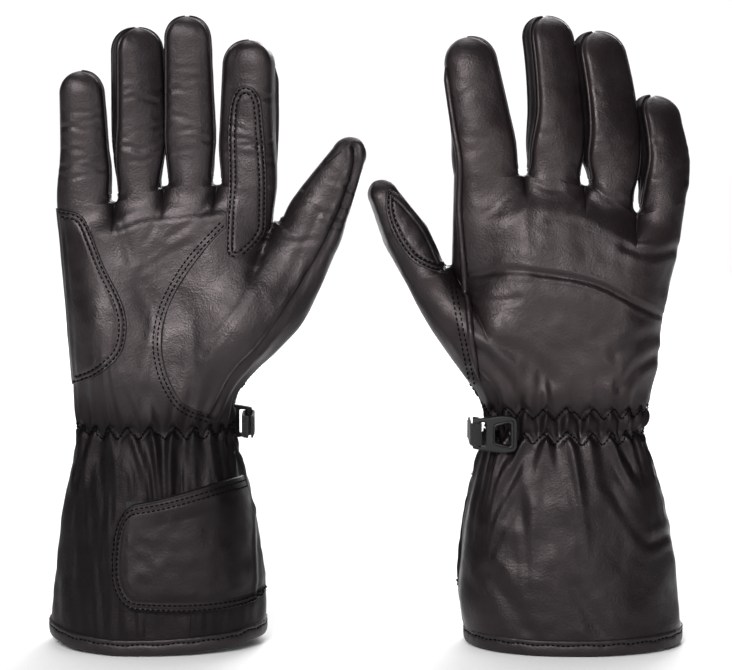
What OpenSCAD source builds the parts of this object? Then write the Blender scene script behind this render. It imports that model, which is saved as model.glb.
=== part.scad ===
// A pair of leather gauntlet gloves, standing side by side on their cuffs.
// Each glove is drawn in its own frame: thumb toward +X, palm toward -Y, fingers up,
// hem on Z = 0. Glove a stands on the left with its palm to the front, glove b on the
// right with its back to the front. Both are right-hand gloves.

/* [Gloves] */
// Distance between the centres of the two gloves
spacing = 222; // [218:1:260]
// Height of the middle fingertips above the hem
glove_len = 336; // [334:1:345]

/* [Cuff] */
// Width of the cuff at the hem
hem_w = 118; // [112:1:122]
// Depth of the cuff at the hem
hem_d = 76; // [70:1:82]
// Height of the binding round the hem
hem_h = 9; // [7:1:11]
// Width at the wrist seam
wrist_w = 86; // [82:1:88]
// Depth at the wrist seam
wrist_d = 50; // [46:1:52]
// Height of the wrist seam
wrist_z = 118; // [114:1:120]
// Height of the elastic tape inside the wrist
elastic_h = 20; // [12:1:24]

/* [Leather] */
// Thickness of the padded outer leather
leather = 2.2; // [1.8:0.1:2.6]
// Thickness of the knitted lining
lining_t = 1.2; // [0.8:0.1:1.6]
// Thickness of a sewn-on patch
patch_t = 1.2; // [0.8:0.1:1.6]
// Clearance between layers that are sewn or pressed together
layer_gap = 0.3; // [0.2:0.1:0.4]
// Radius of the piped seam
piping_r = 1.5; // [1:0.1:2]

/* [Fingers] */
// Depth of a finger at its root
finger_d = 23; // [20:1:24]
// Depth of a fingertip
tip_d = 18; // [15:1:20]
// Depth of the thumb at its root
thumb_d = 28; // [24:1:30]
// Distance from a bending line down to the edge of the hand
hand_gap = 4; // [3.5:0.5:5]
// Distance from a bending line up to the finger's front
front_gap = 3.5; // [3:0.5:4]
// Distance from a bending line up to the finger's back and sides
back_gap = 2; // [2:0.5:3]
// Distance from the thumb's bending line up to the thumb
thumb_gap = 6; // [5.5:0.5:7]

/* [Closure flap] */
// Height of the flap
flap_h = 64; // [56:1:66]
// Height of the flap's lower edge above the floor
flap_z = 27; // [24:1:28]
// Left end of the flap, across the glove
flap_end = -23; // [-26:1:-18]
// Thickness of the flap
flap_t = 2.4; // [2:0.1:3]
// Thickness of each hook-and-loop pad
pad_t = 1.1; // [0.8:0.1:1.3]

/* [Clip] */
// Length of the clip
clip_l = 22; // [20:1:24]
// Height of the clip at its open end
clip_h = 20; // [18:1:22]
// Thickness of the clip
clip_t = 3.6; // [3:0.1:4]
// Height of the clip's bar above the floor
clip_z = 117; // [112:1:120]
// Width of the webbing loop
web_w = 12; // [10:1:14]

/* [Hidden] */
GLOVES = [0, 1];
SIDES = ["a_", "b_"];

// Fingers from the little finger to the index finger, one table for each glove:
// name, root x, root z, tip x, drop of the tip below the middle fingertip, root width, tip width
FINGERS = [
    [
        ["little", -37, 232, -39, 29, 27, 24],
        ["ring", -8, 238, -8, 6, 26, 25],
        ["middle", 19, 241, 18, 0, 27, 23],
        ["index", 49, 239, 51, 13, 30, 27]
    ],
    [
        ["little", -47, 227, -45, 41, 25, 24],
        ["ring", -19, 236, -14, 9, 28, 27],
        ["middle", 12, 243, 14, 0, 29, 25],
        ["index", 45, 245, 56, 11, 32, 27]
    ]
];

// Thumb of each glove: root x, root z, tip x, tip z, root width, tip width
THUMBS = [
    [79, 219, 103, 272, 34, 18],
    [76, 199, 101, 249, 27, 16]
];

// Outline of each hand above the wrist seam: z, little-finger side, thumb side, half depth
HANDS = [
    [
        [wrist_z, -44, 42, wrist_d / 2],
        [134, -45, 44, 25],
        [148, -46, 54, 25],
        [160, -47, 65, 25],
        [172, -48, 75, 24],
        [188, -49, 83, 23],
        [200, -50, 88, 22],
        [208, -51, 91, 21],
        [222, -52, 65, 18],
        [230, -52, 64, 15]
    ],
    [
        [wrist_z, -40, 46, wrist_d / 2],
        [134, -43, 50, 25],
        [148, -46, 59, 26],
        [160, -47, 67, 26],
        [172, -48, 74, 26],
        [182, -49, 79, 25],
        [190, -51, 84, 24],
        [202, -54, 62, 22],
        [214, -57, 62, 19],
        [226, -60, 63, 15]
    ]
];

// Sewing lines of the palm patches: z, edge x
HEEL_EDGE = [[144, -42], [152, -30], [164, -20], [178, -16], [190, -19], [202, -26], [216, -40]];
THENAR_EDGE = [[128, 28], [136, 14], [150, 6], [168, 3], [186, 8], [200, 16], [210, 24], [218, 32]];
// Piped seam on the thumb side of the back, as x over z
PIPING = [[150, 50], [164, 53], [180, 56], [196, 58], [212, 58], [222, 58], [228, 58]];

PIECES = ["palm_panel", "back_panel", "thumb_shell", "thumb_patch", "index_patch", "heel_patch",
    "thenar_patch", "side_piping", "cuff_front", "cuff_back", "wrist_elastic", "hem_binding",
    "closure_flap", "hook_pad", "loop_pad", "clip_body", "clip_loop", "lining"];
FINGER_PIECES = ["front", "back", "fourchettes"];

body_round = 2.25;
finger_round = 2.6;
seam_angle = 32;
elastic_t = 1;
small = 0.01;

// ---------- shape functions ----------

// Point of a rounded ring: superellipse of half width w and half depth d at angle a
function ring_x(a, w, e) = sign(cos(a)) * w * pow(abs(cos(a)), 2 / e);
function ring_y(a, d, e) = sign(sin(a)) * d * pow(abs(sin(a)), 2 / e);

// Angle on the palm side of a ring where it passes x, measured from the ring's centre
function palm_angle(x, w, e) =
    let (c = pow(min(abs(x) / w, 1), e / 2)) 360 - acos(sign(x) * c);

// Width and depth of the cuff at height z
function cuff_flare(z) = 1 - pow(z / wrist_z, 1.7);
function cuff_hw(z) = (wrist_w + (hem_w - wrist_w) * cuff_flare(z)) / 2;
function cuff_hd(z) = (wrist_d + (hem_d - wrist_d) * cuff_flare(z)) / 2;
function cuff_cx(g, z) =
    (HANDS[g][0][1] + HANDS[g][0][2]) / 2 * pow(z / wrist_z, 2);

// Outline of the hand at height z
function hand_left(g, z) = lookup(z, [for (r = HANDS[g]) [r[0], r[1]]]);
function hand_right(g, z) = lookup(z, [for (r = HANDS[g]) [r[0], r[2]]]);
function hand_hd(g, z) = lookup(z, [for (r = HANDS[g]) [r[0], r[3]]]);
function hand_cx(g, z) = (hand_left(g, z) + hand_right(g, z)) / 2;
function hand_hw(g, z) = (hand_right(g, z) - hand_left(g, z)) / 2;

// Lean and length of a finger
function finger_lean(f) = atan2(f[3] - f[1], glove_len - f[4] - f[2]);
function finger_len(f) = norm([f[3] - f[1], glove_len - f[4] - f[2]]);

// Upper edge of the hand, which keeps its distance below every finger
function knuckle_table(g) = [
    for (f = FINGERS[g], side = [-1, 1])
        [f[1] + side * f[5] / 2, f[2] - hand_gap - side * f[5] / 2 * tan(finger_lean(f))]
];
function knuckle_z(g, x) = lookup(x, knuckle_table(g));
function top_row(g) = HANDS[g][len(HANDS[g]) - 1][0];

// ---------- shells ----------
// A shell runs through stations [z, centre x, half width, half depth, first angle, last angle,
// share of the knuckle line that z follows].

// Points of one station: the outer arc, then the inner arc
function arc_points(g, s, n, e, inset) = [
    for (i = [0 : n])
        let (
            a = s[4] + (s[5] - s[4]) * i / n,
            x = s[1] + ring_x(a, max(s[2] - inset, small), e),
            y = ring_y(a, max(s[3] - inset, small), e),
            lift = s[6] == 0 ? 0 : s[6] * (knuckle_z(g, x) - top_row(g))
        ) [x, y, s[0] + lift]
];

// An open shell between two angles
module strip(g, stations, n, e, wall) {
    m = n + 1;
    rows = len(stations);
    points = [
        for (s = stations) each concat(arc_points(g, s, n, e, 0), arc_points(g, s, n, e, wall))
    ];
    function id(r, layer, i) = r * 2 * m + layer * m + i;
    faces = concat(
        [for (r = [0 : rows - 2], i = [0 : n - 1])
            [id(r, 0, i), id(r + 1, 0, i), id(r + 1, 0, i + 1), id(r, 0, i + 1)]],
        [for (r = [0 : rows - 2], i = [0 : n - 1])
            [id(r, 1, i), id(r, 1, i + 1), id(r + 1, 1, i + 1), id(r + 1, 1, i)]],
        [for (r = [0 : rows - 2])
            [id(r, 0, 0), id(r, 1, 0), id(r + 1, 1, 0), id(r + 1, 0, 0)]],
        [for (r = [0 : rows - 2])
            [id(r, 0, n), id(r + 1, 0, n), id(r + 1, 1, n), id(r, 1, n)]],
        [for (i = [0 : n - 1])
            [id(0, 0, i), id(0, 0, i + 1), id(0, 1, i + 1), id(0, 1, i)]],
        [for (i = [0 : n - 1])
            [id(rows - 1, 0, i), id(rows - 1, 1, i), id(rows - 1, 1, i + 1), id(rows - 1, 0, i + 1)]]
    );
    polyhedron(points, faces, convexity = 6);
}

// A shell that goes all the way round
module tube(g, stations, n, e, wall) {
    rows = len(stations);
    points = [
        for (s = stations, inset = [0, wall], i = [0 : n - 1])
            let (
                a = 360 * i / n,
                x = s[1] + ring_x(a, max(s[2] - inset, small), e),
                y = ring_y(a, max(s[3] - inset, small), e),
                lift = s[6] == 0 ? 0 : s[6] * (knuckle_z(g, x) - top_row(g))
            ) [x, y, s[0] + lift]
    ];
    function id(r, layer, i) = (r * 2 + layer) * n + i % n;
    faces = concat(
        [for (r = [0 : rows - 2], i = [0 : n - 1])
            [id(r, 0, i), id(r + 1, 0, i), id(r + 1, 0, i + 1), id(r, 0, i + 1)]],
        [for (r = [0 : rows - 2], i = [0 : n - 1])
            [id(r, 1, i), id(r, 1, i + 1), id(r + 1, 1, i + 1), id(r + 1, 1, i)]],
        [for (i = [0 : n - 1])
            [id(0, 0, i), id(0, 0, i + 1), id(0, 1, i + 1), id(0, 1, i)]],
        [for (i = [0 : n - 1])
            [id(rows - 1, 0, i), id(rows - 1, 1, i), id(rows - 1, 1, i + 1), id(rows - 1, 0, i + 1)]]
    );
    polyhedron(points, faces, convexity = 8);
}

// A round cord through points
module cord(path, r, sides) {
    rows = len(path);
    last = rows - 1;
    function ahead(i) = path[min(i + 1, last)] - path[max(i - 1, 0)];
    function across(i) = let (c = cross(ahead(i), [0, 1, 0])) c / norm(c);
    function up(i) = let (c = cross(across(i), ahead(i))) c / norm(c);
    points = [
        for (i = [0 : last], k = [0 : sides - 1])
            path[i] + r * (cos(360 * k / sides) * across(i) + sin(360 * k / sides) * up(i))
    ];
    faces = concat(
        [for (i = [0 : last - 1], k = [0 : sides - 1])
            [i * sides + k, i * sides + (k + 1) % sides,
             (i + 1) * sides + (k + 1) % sides, (i + 1) * sides + k]],
        [[for (k = [sides - 1 : -1 : 0]) k]],
        [[for (k = [0 : sides - 1]) last * sides + k]]
    );
    polyhedron(points, faces, convexity = 4);
}

// Stations of the hand between two angles, grown by a clearance
function hand_stations(g, a0, a1, grow) = [
    for (r = HANDS[g])
        let (share = max(0, (r[0] - 200) / (top_row(g) - 200)))
        [r[0], (r[1] + r[2]) / 2, (r[2] - r[1]) / 2 + grow, r[3] + grow, a0, a1, share]
];

// Stations of the cuff between two angles
function cuff_stations(g, z0, z1, rows, a0, a1, grow) = [
    for (i = [0 : rows])
        let (z = z0 + (z1 - z0) * i / rows)
        [z, cuff_cx(g, z), cuff_hw(z) + grow, cuff_hd(z) + grow, a0, a1, 0]
];

// Stations of a finger in its own frame, from height z0 to its rounded tip
function tube_stations(z0, length, w0, w1, d0, d1, a0, a1, grow) =
    let (round_l = w1 / 2, body = length - round_l)
    concat(
        [for (i = [0 : 4])
            let (t = i / 4)
            [z0 + (body - z0) * t, 0, (w0 + (w1 - w0) * t) / 2 + grow,
             (d0 + (d1 - d0) * t) / 2 + grow, a0, a1, 0]],
        [for (q = [30, 55, 74])
            [body + round_l * sin(q), 0, w1 / 2 * cos(q) + grow, d1 / 2 * cos(q) + grow, a0, a1, 0]]
    );
function finger_stations(f, z0, a0, a1) =
    tube_stations(z0, finger_len(f), f[5], f[6], finger_d, tip_d, a0, a1, 0);

// ---------- placing ----------

module glove(g) {
    translate([(g - 0.5) * spacing, 0, 0]) rotate([0, 0, 180 * g]) children();
}
module on_finger(g, f) {
    glove(g) translate([f[1], 0, f[2]]) rotate([0, finger_lean(f), 0]) children();
}
function thumb_lean(g) = let (t = THUMBS[g]) atan2(t[2] - t[0], t[3] - t[1]);
function thumb_len(g) = let (t = THUMBS[g]) norm([t[2] - t[0], t[3] - t[1]]);
module on_thumb(g) {
    t = THUMBS[g];
    glove(g) translate([t[0], 0, t[1]]) rotate([0, thumb_lean(g), 0]) children();
}

// ---------- hand ----------

module palm_panel(g) {
    color("#3a3132") glove(g) strip(g, hand_stations(g, 180, 360, 0), 14, body_round, leather);
}
module back_panel(g) {
    color("#43393a") glove(g) strip(g, hand_stations(g, 0, 180, 0), 14, body_round, leather);
}

// Patch on the palm from the outer edge of the hand to a sewing line, up to height z1. It has
// a station at every station of the hand, so that it lies flat on it.
module palm_patch(g, edge, z1, outer_side) {
    grow = 2 * layer_gap + patch_t;
    z0 = edge[0][0];
    rows = concat([z0], [for (r = HANDS[g]) if (r[0] > z0 && r[0] < z1) r[0]], [z1]);
    halves = [for (i = [0 : len(rows) - 2], t = [0, 0.5]) rows[i] + (rows[i + 1] - rows[i]) * t];
    stations = [
        for (z = concat(halves, [z1]))
            let (
                w = hand_hw(g, z) + grow,
                a = palm_angle(lookup(z, edge) - hand_cx(g, z), w, body_round)
            )
            [z, hand_cx(g, z), w, hand_hd(g, z) + grow,
             outer_side < 0 ? 184 : a, outer_side < 0 ? a : 356, 0]
    ];
    glove(g) strip(g, stations, 8, body_round, patch_t);
}
module heel_patch(g) {
    color("#2f2829") palm_patch(g, HEEL_EDGE, 215, -1);
}
module thenar_patch(g) {
    color("#352d2e") palm_patch(g, THENAR_EDGE, THUMBS[g][1] - 12, 1);
}
module side_piping(g) {
    path = [
        for (p = PIPING)
            let (
                z = min(p[0], top_row(g) - 1),
                w = hand_hw(g, p[0]),
                x = (p[1] - hand_cx(g, p[0])) / w,
                y = hand_hd(g, p[0]) * pow(1 - pow(abs(x), body_round), 1 / body_round)
            )
            [p[1], y + 2 * piping_r + 4 * layer_gap, p[0]]
    ];
    color("#241f20") glove(g) cord(path, piping_r, 8);
}
module lining(g) {
    skin = leather + 2 * layer_gap;
    neck = skin + elastic_t + 2 * layer_gap;
    low = cuff_stations(g, 3, wrist_z - elastic_h / 2 - 6, 5, 0, 360, -skin);
    mid = [
        for (z = [wrist_z - elastic_h / 2 - 1, wrist_z, wrist_z + elastic_h / 2 + 1])
            [z, hand_cx(g, wrist_z), wrist_w / 2 - neck, wrist_d / 2 - neck, 0, 360, 0]
    ];
    high = [
        for (s = hand_stations(g, 0, 360, -skin)) if (s[0] > wrist_z + 12)
            [s[0] - 6 * s[6], s[1], s[2] - 1.8 * s[6], s[3], s[4], s[5], s[6]]
    ];
    color("#1d1b1c") glove(g) tube(g, concat(low, mid, high), 24, body_round, lining_t);
}

// ---------- fingers ----------

// The little and index fingers have a side strip only on the side of their neighbour
function front_arc(name) = [
    name == "little" ? 180 : 180 + seam_angle,
    name == "index" ? 360 : 360 - seam_angle
];
function back_arc(name) = [
    name == "index" ? 0 : seam_angle,
    name == "little" ? 180 : 180 - seam_angle
];

module finger_front(g, f) {
    arc = front_arc(f[0]);
    color("#3a3132") on_finger(g, f)
        strip(g, finger_stations(f, front_gap, arc[0], arc[1]), 6, finger_round, leather);
}
module finger_back(g, f) {
    arc = back_arc(f[0]);
    color("#43393a") on_finger(g, f)
        strip(g, finger_stations(f, back_gap, arc[0], arc[1]), 6, finger_round, leather);
}
module finger_fourchettes(g, f) {
    color("#2c2526") on_finger(g, f) {
        if (f[0] != "index")
            strip(g, finger_stations(f, back_gap, -seam_angle, seam_angle), 3, finger_round, leather);
        if (f[0] != "little")
            strip(g, finger_stations(f, back_gap, 180 - seam_angle, 180 + seam_angle), 3,
                finger_round, leather);
    }
}
module index_patch(g) {
    f = FINGERS[g][3];
    grow = layer_gap + patch_t;
    top = 60;
    stations = [
        for (p = [[front_gap + 6, 26], [20, 27], [40, 28], [52, 27], [57, 20], [top, 9]])
            let (t = p[0] / (finger_len(f) - f[6] / 2))
            [p[0], 0, (f[5] + (f[6] - f[5]) * t) / 2 + grow,
             (finger_d + (tip_d - finger_d) * t) / 2 + grow, 270 - p[1], 270 + p[1], 0]
    ];
    color("#2f2829") on_finger(g, f) strip(g, stations, 6, finger_round, patch_t);
}

// ---------- thumb ----------

function thumb_stations(g, z0, a0, a1, grow) =
    let (t = THUMBS[g])
    tube_stations(z0, thumb_len(g), t[4], t[5], thumb_d, tip_d - 2, a0, a1, grow);

module thumb_shell(g) {
    color("#3a3132") on_thumb(g)
        tube(g, thumb_stations(g, thumb_gap, 0, 360, 0), 20, finger_round, leather);
}
module thumb_patch(g) {
    all = thumb_stations(g, thumb_gap, 100, 176, layer_gap + patch_t);
    color("#2f2829") on_thumb(g)
        strip(g, [for (i = [0 : 4]) all[i]], 6, finger_round, patch_t);
}

// ---------- cuff ----------

module cuff_front(g) {
    color("#3a3132") glove(g) strip(g,
        cuff_stations(g, hem_h + layer_gap, wrist_z - layer_gap, 6, 180, 360, 0),
        14, body_round, leather);
}
module cuff_back(g) {
    color("#43393a") glove(g) strip(g,
        cuff_stations(g, hem_h + layer_gap, wrist_z - layer_gap, 6, 0, 180, 0),
        14, body_round, leather);
}
module wrist_elastic(g) {
    skin = leather + 2 * layer_gap;
    stations = [
        for (side = [-1, 1])
            [wrist_z + side * elastic_h / 2, hand_cx(g, wrist_z), wrist_w / 2 - skin,
             wrist_d / 2 - skin, 0, 360, 0]
    ];
    color("#111111") glove(g) tube(g, stations, 24, body_round, elastic_t);
}
module hem_ring(grow) {
    polygon([
        for (i = [0 : 47])
            [ring_x(7.5 * i, hem_w / 2 + grow, body_round), ring_y(7.5 * i, hem_d / 2 + grow, body_round)]
    ]);
}
module hem_binding(g) {
    color("#241f20") glove(g) linear_extrude(hem_h) difference() {
        hem_ring(0.8);
        hem_ring(-leather);
    }
}

// ---------- closure ----------

// Layer on the palm side of the cuff, between x0 and the angle a1 on the thumb side
module cuff_layer(g, z0, z1, x0, a1, lift, t, round_end) {
    stations = [
        for (i = [0 : 6])
            let (
                z = z0 + (z1 - z0) * i / 6,
                end_shift = round_end * (1 - sqrt(1 - pow(abs(i - 3) / 3, 3) * 0.98)),
                w = cuff_hw(z) + lift + t,
                d = cuff_hd(z) + lift + t,
                a0 = palm_angle(x0 + end_shift - cuff_cx(g, z), w, body_round)
            )
            [z, cuff_cx(g, z), w, d, a0, a1, 0]
    ];
    glove(g) strip(g, stations, 14, body_round, t);
}
module loop_pad(g) {
    color("#1c1a1b") cuff_layer(g, flap_z + 8, flap_z + flap_h - 8, flap_end + 8, 320,
        layer_gap, pad_t, 0);
}
module hook_pad(g) {
    color("#161516") cuff_layer(g, flap_z + 9, flap_z + flap_h - 9, flap_end + 9, 318,
        2 * layer_gap + pad_t, pad_t, 0);
}
module closure_flap(g) {
    color("#2f2829") cuff_layer(g, flap_z, flap_z + flap_h, flap_end, 357,
        3 * layer_gap + 2 * pad_t, flap_t, 14);
}

// ---------- clip ----------
// The clip turns on a bar held by a webbing loop on the thumb side of the wrist. It lies
// along the back of the glove.

bar_r = 1.7;
web_t = 1.4;
function bar_x(g) = hand_right(g, wrist_z) + 6;
bar_y = wrist_d / 2 - 1;

module clip_body(g) {
    narrow = 13;
    rim = 4;
    color("#202022") glove(g) translate([bar_x(g), bar_y, clip_z]) {
        cylinder(h = clip_h - 2, r = bar_r, center = true, $fn = 32);
        rotate([90, 0, 0]) linear_extrude(clip_t, center = true) difference() {
            polygon([
                [small, -clip_h / 2 + 1], [small, clip_h / 2 - 1],
                [-clip_l + 3, clip_h / 2], [-clip_l, clip_h / 2 - 3],
                [-clip_l, -clip_h / 2 + 3], [-clip_l + 3, -clip_h / 2]
            ]);
            polygon([
                [-clip_l + rim, -narrow / 2], [-clip_l + rim, narrow / 2],
                [-clip_l / 2 + 1, narrow / 2 - 2], [-clip_l / 2 + 1, -narrow / 2 + 2]
            ]);
            translate([-bar_r - 3.2, -web_w / 2 - 0.6]) square([3.2 + 2 * bar_r, web_w + 1.2]);
        }
    }
}
module clip_loop(g) {
    r0 = bar_r + layer_gap;
    r1 = r0 + web_t;
    color("#1a1a1b") glove(g) translate([bar_x(g), bar_y, clip_z - web_w / 2])
        linear_extrude(web_w) difference() {
            union() {
                circle(r = r1, $fn = 32);
                translate([-r1, -bar_y]) square([2 * r1, bar_y]);
            }
            circle(r = r0, $fn = 32);
            translate([-r0, -bar_y + web_t]) square([2 * r0, bar_y - web_t]);
        }
}

// ---------- drawing ----------

for (g = GLOVES) palm_panel(g);
for (g = GLOVES) back_panel(g);
for (g = GLOVES) thumb_shell(g);
for (g = GLOVES) thumb_patch(g);
for (g = GLOVES) index_patch(g);
for (g = GLOVES) heel_patch(g);
for (g = GLOVES) thenar_patch(g);
for (g = GLOVES) side_piping(g);
for (g = GLOVES) cuff_front(g);
for (g = GLOVES) cuff_back(g);
for (g = GLOVES) wrist_elastic(g);
for (g = GLOVES) hem_binding(g);
for (g = GLOVES) closure_flap(g);
for (g = GLOVES) hook_pad(g);
for (g = GLOVES) loop_pad(g);
for (g = GLOVES) clip_body(g);
for (g = GLOVES) clip_loop(g);
for (g = GLOVES) lining(g);
for (g = GLOVES, f = FINGERS[g])
    finger_front(g, f);
for (g = GLOVES, f = FINGERS[g])
    finger_back(g, f);
for (g = GLOVES, f = FINGERS[g])
    finger_fourchettes(g, f);
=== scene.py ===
import math

import bpy
import numpy as np
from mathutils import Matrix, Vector, noise
from mathutils.bvhtree import BVHTree


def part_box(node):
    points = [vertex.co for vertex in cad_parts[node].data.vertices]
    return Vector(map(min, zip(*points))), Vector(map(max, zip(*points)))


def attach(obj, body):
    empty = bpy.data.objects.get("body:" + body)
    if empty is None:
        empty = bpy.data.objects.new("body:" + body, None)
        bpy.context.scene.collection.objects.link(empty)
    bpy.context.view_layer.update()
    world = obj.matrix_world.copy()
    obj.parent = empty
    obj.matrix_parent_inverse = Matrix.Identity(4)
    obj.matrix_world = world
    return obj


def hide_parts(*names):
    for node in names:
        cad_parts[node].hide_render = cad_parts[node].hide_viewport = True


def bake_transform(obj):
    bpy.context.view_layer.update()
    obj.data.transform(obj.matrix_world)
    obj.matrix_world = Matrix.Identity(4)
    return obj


# A pair of black leather gauntlet gloves. Every shape below is worked out in millimetres in a
# glove's own frame (thumb toward +X, palm toward -Y, fingers up, hem on Z = 0), and place()
# carries it into the row frame.

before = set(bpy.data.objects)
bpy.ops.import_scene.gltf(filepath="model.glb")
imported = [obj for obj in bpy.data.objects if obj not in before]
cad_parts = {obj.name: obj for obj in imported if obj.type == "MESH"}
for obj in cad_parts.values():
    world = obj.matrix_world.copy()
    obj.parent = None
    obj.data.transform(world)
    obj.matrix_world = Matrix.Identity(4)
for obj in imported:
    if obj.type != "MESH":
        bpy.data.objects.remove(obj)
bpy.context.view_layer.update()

MM = 0.001
WRIST_Z = 118.0      # height of the wrist seam
BODY_POWER = 2.25    # roundness of the cuff's and wrist's section
FINGER_POWER = 2.3   # roundness of a finger's section

CUFF_ROWS = 76       # rows of the sheet from the hem to the wrist seam
HAND_ROWS = 92       # rows of the sheet from the wrist to the finger crotches
THUMB_ROWS = 80      # rows of the sheet from the wrist to the thumb crotch
BODY_ROWS = 62       # rows along a finger, up to its rounded tip
TIP_ROWS = 22        # rows round a fingertip
COLUMNS = 23         # columns across a finger
WALL_COLUMNS = 7     # columns across a side strip

# ---------------------------------------------------------------- glove outlines

# Boundaries between the rays of the hand, from the wrist up to the crotches, as (x, z) points.
# Fingers: name, tip, width at mid length, width at the tip, twist in degrees, curl toward the
# palm at the tip, sideways bow at the tip.
GLOVES = {
    "a": {
        "turn": 1,
        "rays": [
            [(-58.5, 3), (-58, 22), (-51.5, 70), (-46.5, 96), (-43.5, 112), (-43.5, 120),
             (-45, 136), (-47, 160), (-49, 187), (-51, 213), (-53, 236)],
            [(-30, 3), (-26, 70), (-24, 118), (-24, 160), (-23, 200), (-21.5, 238)],
            [(-4, 3), (-4, 70), (-4, 118), (-2, 160), (2, 205), (5, 246)],
            [(20, 3), (18, 70), (12, 118), (18, 160), (26, 205), (33, 247)],
            [(40, 3), (38, 70), (26, 118), (32, 142), (42, 175), (54, 206), (63, 228)],
            [(57.5, 3), (58.5, 26), (56, 48), (52, 72), (46, 94), (41.5, 110), (41, 122),
             (43, 134), (52, 146), (66, 159), (78, 172), (87, 189), (96, 210)],
        ],
        "index_side": (65.5, 246),
        "fingers": [
            ("little", (-39, 307.5), 26, 24, 6, 5, 0),
            ("ring", (-8.5, 330), 26.5, 25, 20, 6, 0),
            ("middle", (18, 336), 25.5, 23.5, 4, 6, 0),
            ("index", (51.5, 323.5), 29, 27, -10, 5, 0),
        ],
        "thumb": ("thumb", (107.5, 272), 30, 20, 0, 4, 0),
    },
    "b": {
        "turn": -1,
        "rays": [
            [(-60.5, 3), (-60, 14), (-57, 48), (-50.5, 80), (-43, 102), (-39.5, 113), (-40, 122),
             (-43, 136), (-46, 149), (-50, 181), (-57, 215), (-60.5, 238)],
            [(-30, 3), (-26, 70), (-22, 118), (-24, 160), (-30, 200), (-34, 232)],
            [(-4, 3), (-3, 70), (-2, 118), (-4, 160), (-5, 205), (-6, 247)],
            [(20, 3), (19, 70), (15, 118), (17, 160), (23, 205), (26.5, 252)],
            [(40, 3), (39, 70), (31, 118), (37, 142), (47, 170), (57, 190), (65, 204)],
            [(56, 3), (60, 20), (60.5, 34), (57.5, 66), (52, 92), (46.5, 112), (46, 122),
             (50, 134), (58, 145), (67, 157), (76, 170), (83, 182), (89, 194)],
        ],
        "index_side": (64, 252),
        "fingers": [
            ("little", (-42, 294.5), 26, 23, 24, 7, 4),
            ("ring", (-11, 328), 29, 26, 22, 8, 3.5),
            ("middle", (15.5, 336), 27, 24.5, 24, 7, 3),
            ("index", (57.5, 325), 32, 28, 4, 4, 0),
        ],
        "thumb": ("thumb", (105, 249), 25.5, 17, 10, 3, 0),
    },
}
SLOT = 2.7           # half width of the gap between two fingers at the crotch
WALL = 4.6           # half height of the side strips
FINGER_HALF = (12.2, 9.6)    # half depth of a finger at its root and near its tip
THUMB_HALF = (14.5, 8.5)

# Half thickness of the hand over height, for the palm and the back
PALM_DEPTH = [(112, 25), (130, 24.5), (150, 24), (175, 22), (200, 19), (222, 16.5), (250, 13)]
BACK_DEPTH = [(112, 25), (130, 25), (150, 25), (175, 24.5), (200, 23), (222, 19.5), (250, 14)]
EDGE_ROUND = 27.0    # how far the rounding of the hand's edge reaches inward
FINGER_BLEND = 17.0  # how far below its crotches the hand turns into fingers, and into the thumb
THUMB_BLEND = 40.0
WRIST_BLEND = 26.0   # how far above the wrist seam the cuff's section turns into the hand
SEAM_GROOVE, SEAM_RIM = 0.75, 0.35      # depth of a seam, and rise of the leather beside it
# Soft mounds and hollows of the hand by side: x, z, reach in x, reach in z, rise
MOUNDS = {-1: ((46, 165, 20, 30, 4.5), (-30, 168, 17, 34, 2.5), (6, 186, 18, 26, -2.5)),
          1: ((4, 196, 34, 40, 2.0), (44, 176, 16, 30, 1.5))}
THUMB_FULL = 59.7    # length of the thumb that its seam and patch are given for
PAD_AREA = (-20, 48, 30, 87)    # x and z range on the palm-side cuff kept flat for the loop pad
FAR = 99.0           # distance from a seam, where there is none


def smoothstep(t):
    t = np.clip(t, 0, 1)
    return t * t * (3 - 2 * t)


def bell(d, width):
    return np.exp(-(d / width) ** 2)


def round_off(d, reach):
    """A quarter circle, from 0 at an edge to 1 at reach from it."""
    return np.sqrt(np.clip(1 - (1 - np.clip(d / reach, 0, 1)) ** 2, 0, 1))


def unit(v):
    """Directions along the last axis, with length one."""
    return v / (np.linalg.norm(v, axis=-1, keepdims=True) + 1e-12)


def circle(count):
    return np.linspace(0, 2 * np.pi, count, endpoint=False)


def columns_at(at, source, table):
    """The columns of a table, each interpolated from source to the places in at."""
    return np.stack([np.interp(at, source, column) for column in table.T], 1)


def smooth_line(points, steps=24):
    """A Catmull-Rom curve through points, as a dense polyline."""
    p = np.array(points, float)
    p = np.vstack([2 * p[0] - p[1], p, 2 * p[-1] - p[-2]])
    t = np.linspace(0, 1, steps, endpoint=False)[:, None]
    out = []
    for a, b, c, d in zip(p[:-3], p[1:-2], p[2:-1], p[3:]):
        out.append(0.5 * (2 * b + (c - a) * t + (2 * a - 5 * b + 4 * c - d) * t**2
                          + (3 * b - a - 3 * c + d) * t**3))
    return np.vstack(out + [p[-2:-1]])


def resample(line, count=None, pitch=None):
    """Points at even distances along a polyline."""
    steps = np.r_[0, np.cumsum(np.linalg.norm(np.diff(line, axis=0), axis=1))]
    count = count or max(2, int(round(steps[-1] / pitch)) + 1)
    return columns_at(np.linspace(0, steps[-1], count), steps, line)


def line_distance(p, line):
    """Distance from each point to a polyline, in any dimension."""
    best = np.full(len(p), 1e9)
    for a, b in zip(line[:-1], line[1:]):
        d = b - a
        t = np.clip(((p - a) @ d) / max(d @ d, 1e-9), 0, 1)
        best = np.minimum(best, np.linalg.norm(p - a - t[:, None] * d, axis=1))
    return best


def offset_line(line, distance):
    """A plane polyline moved to its left by distance."""
    d = unit(np.gradient(line, axis=0))
    return line + distance * np.stack([-d[:, 1], d[:, 0]], 1)


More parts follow.
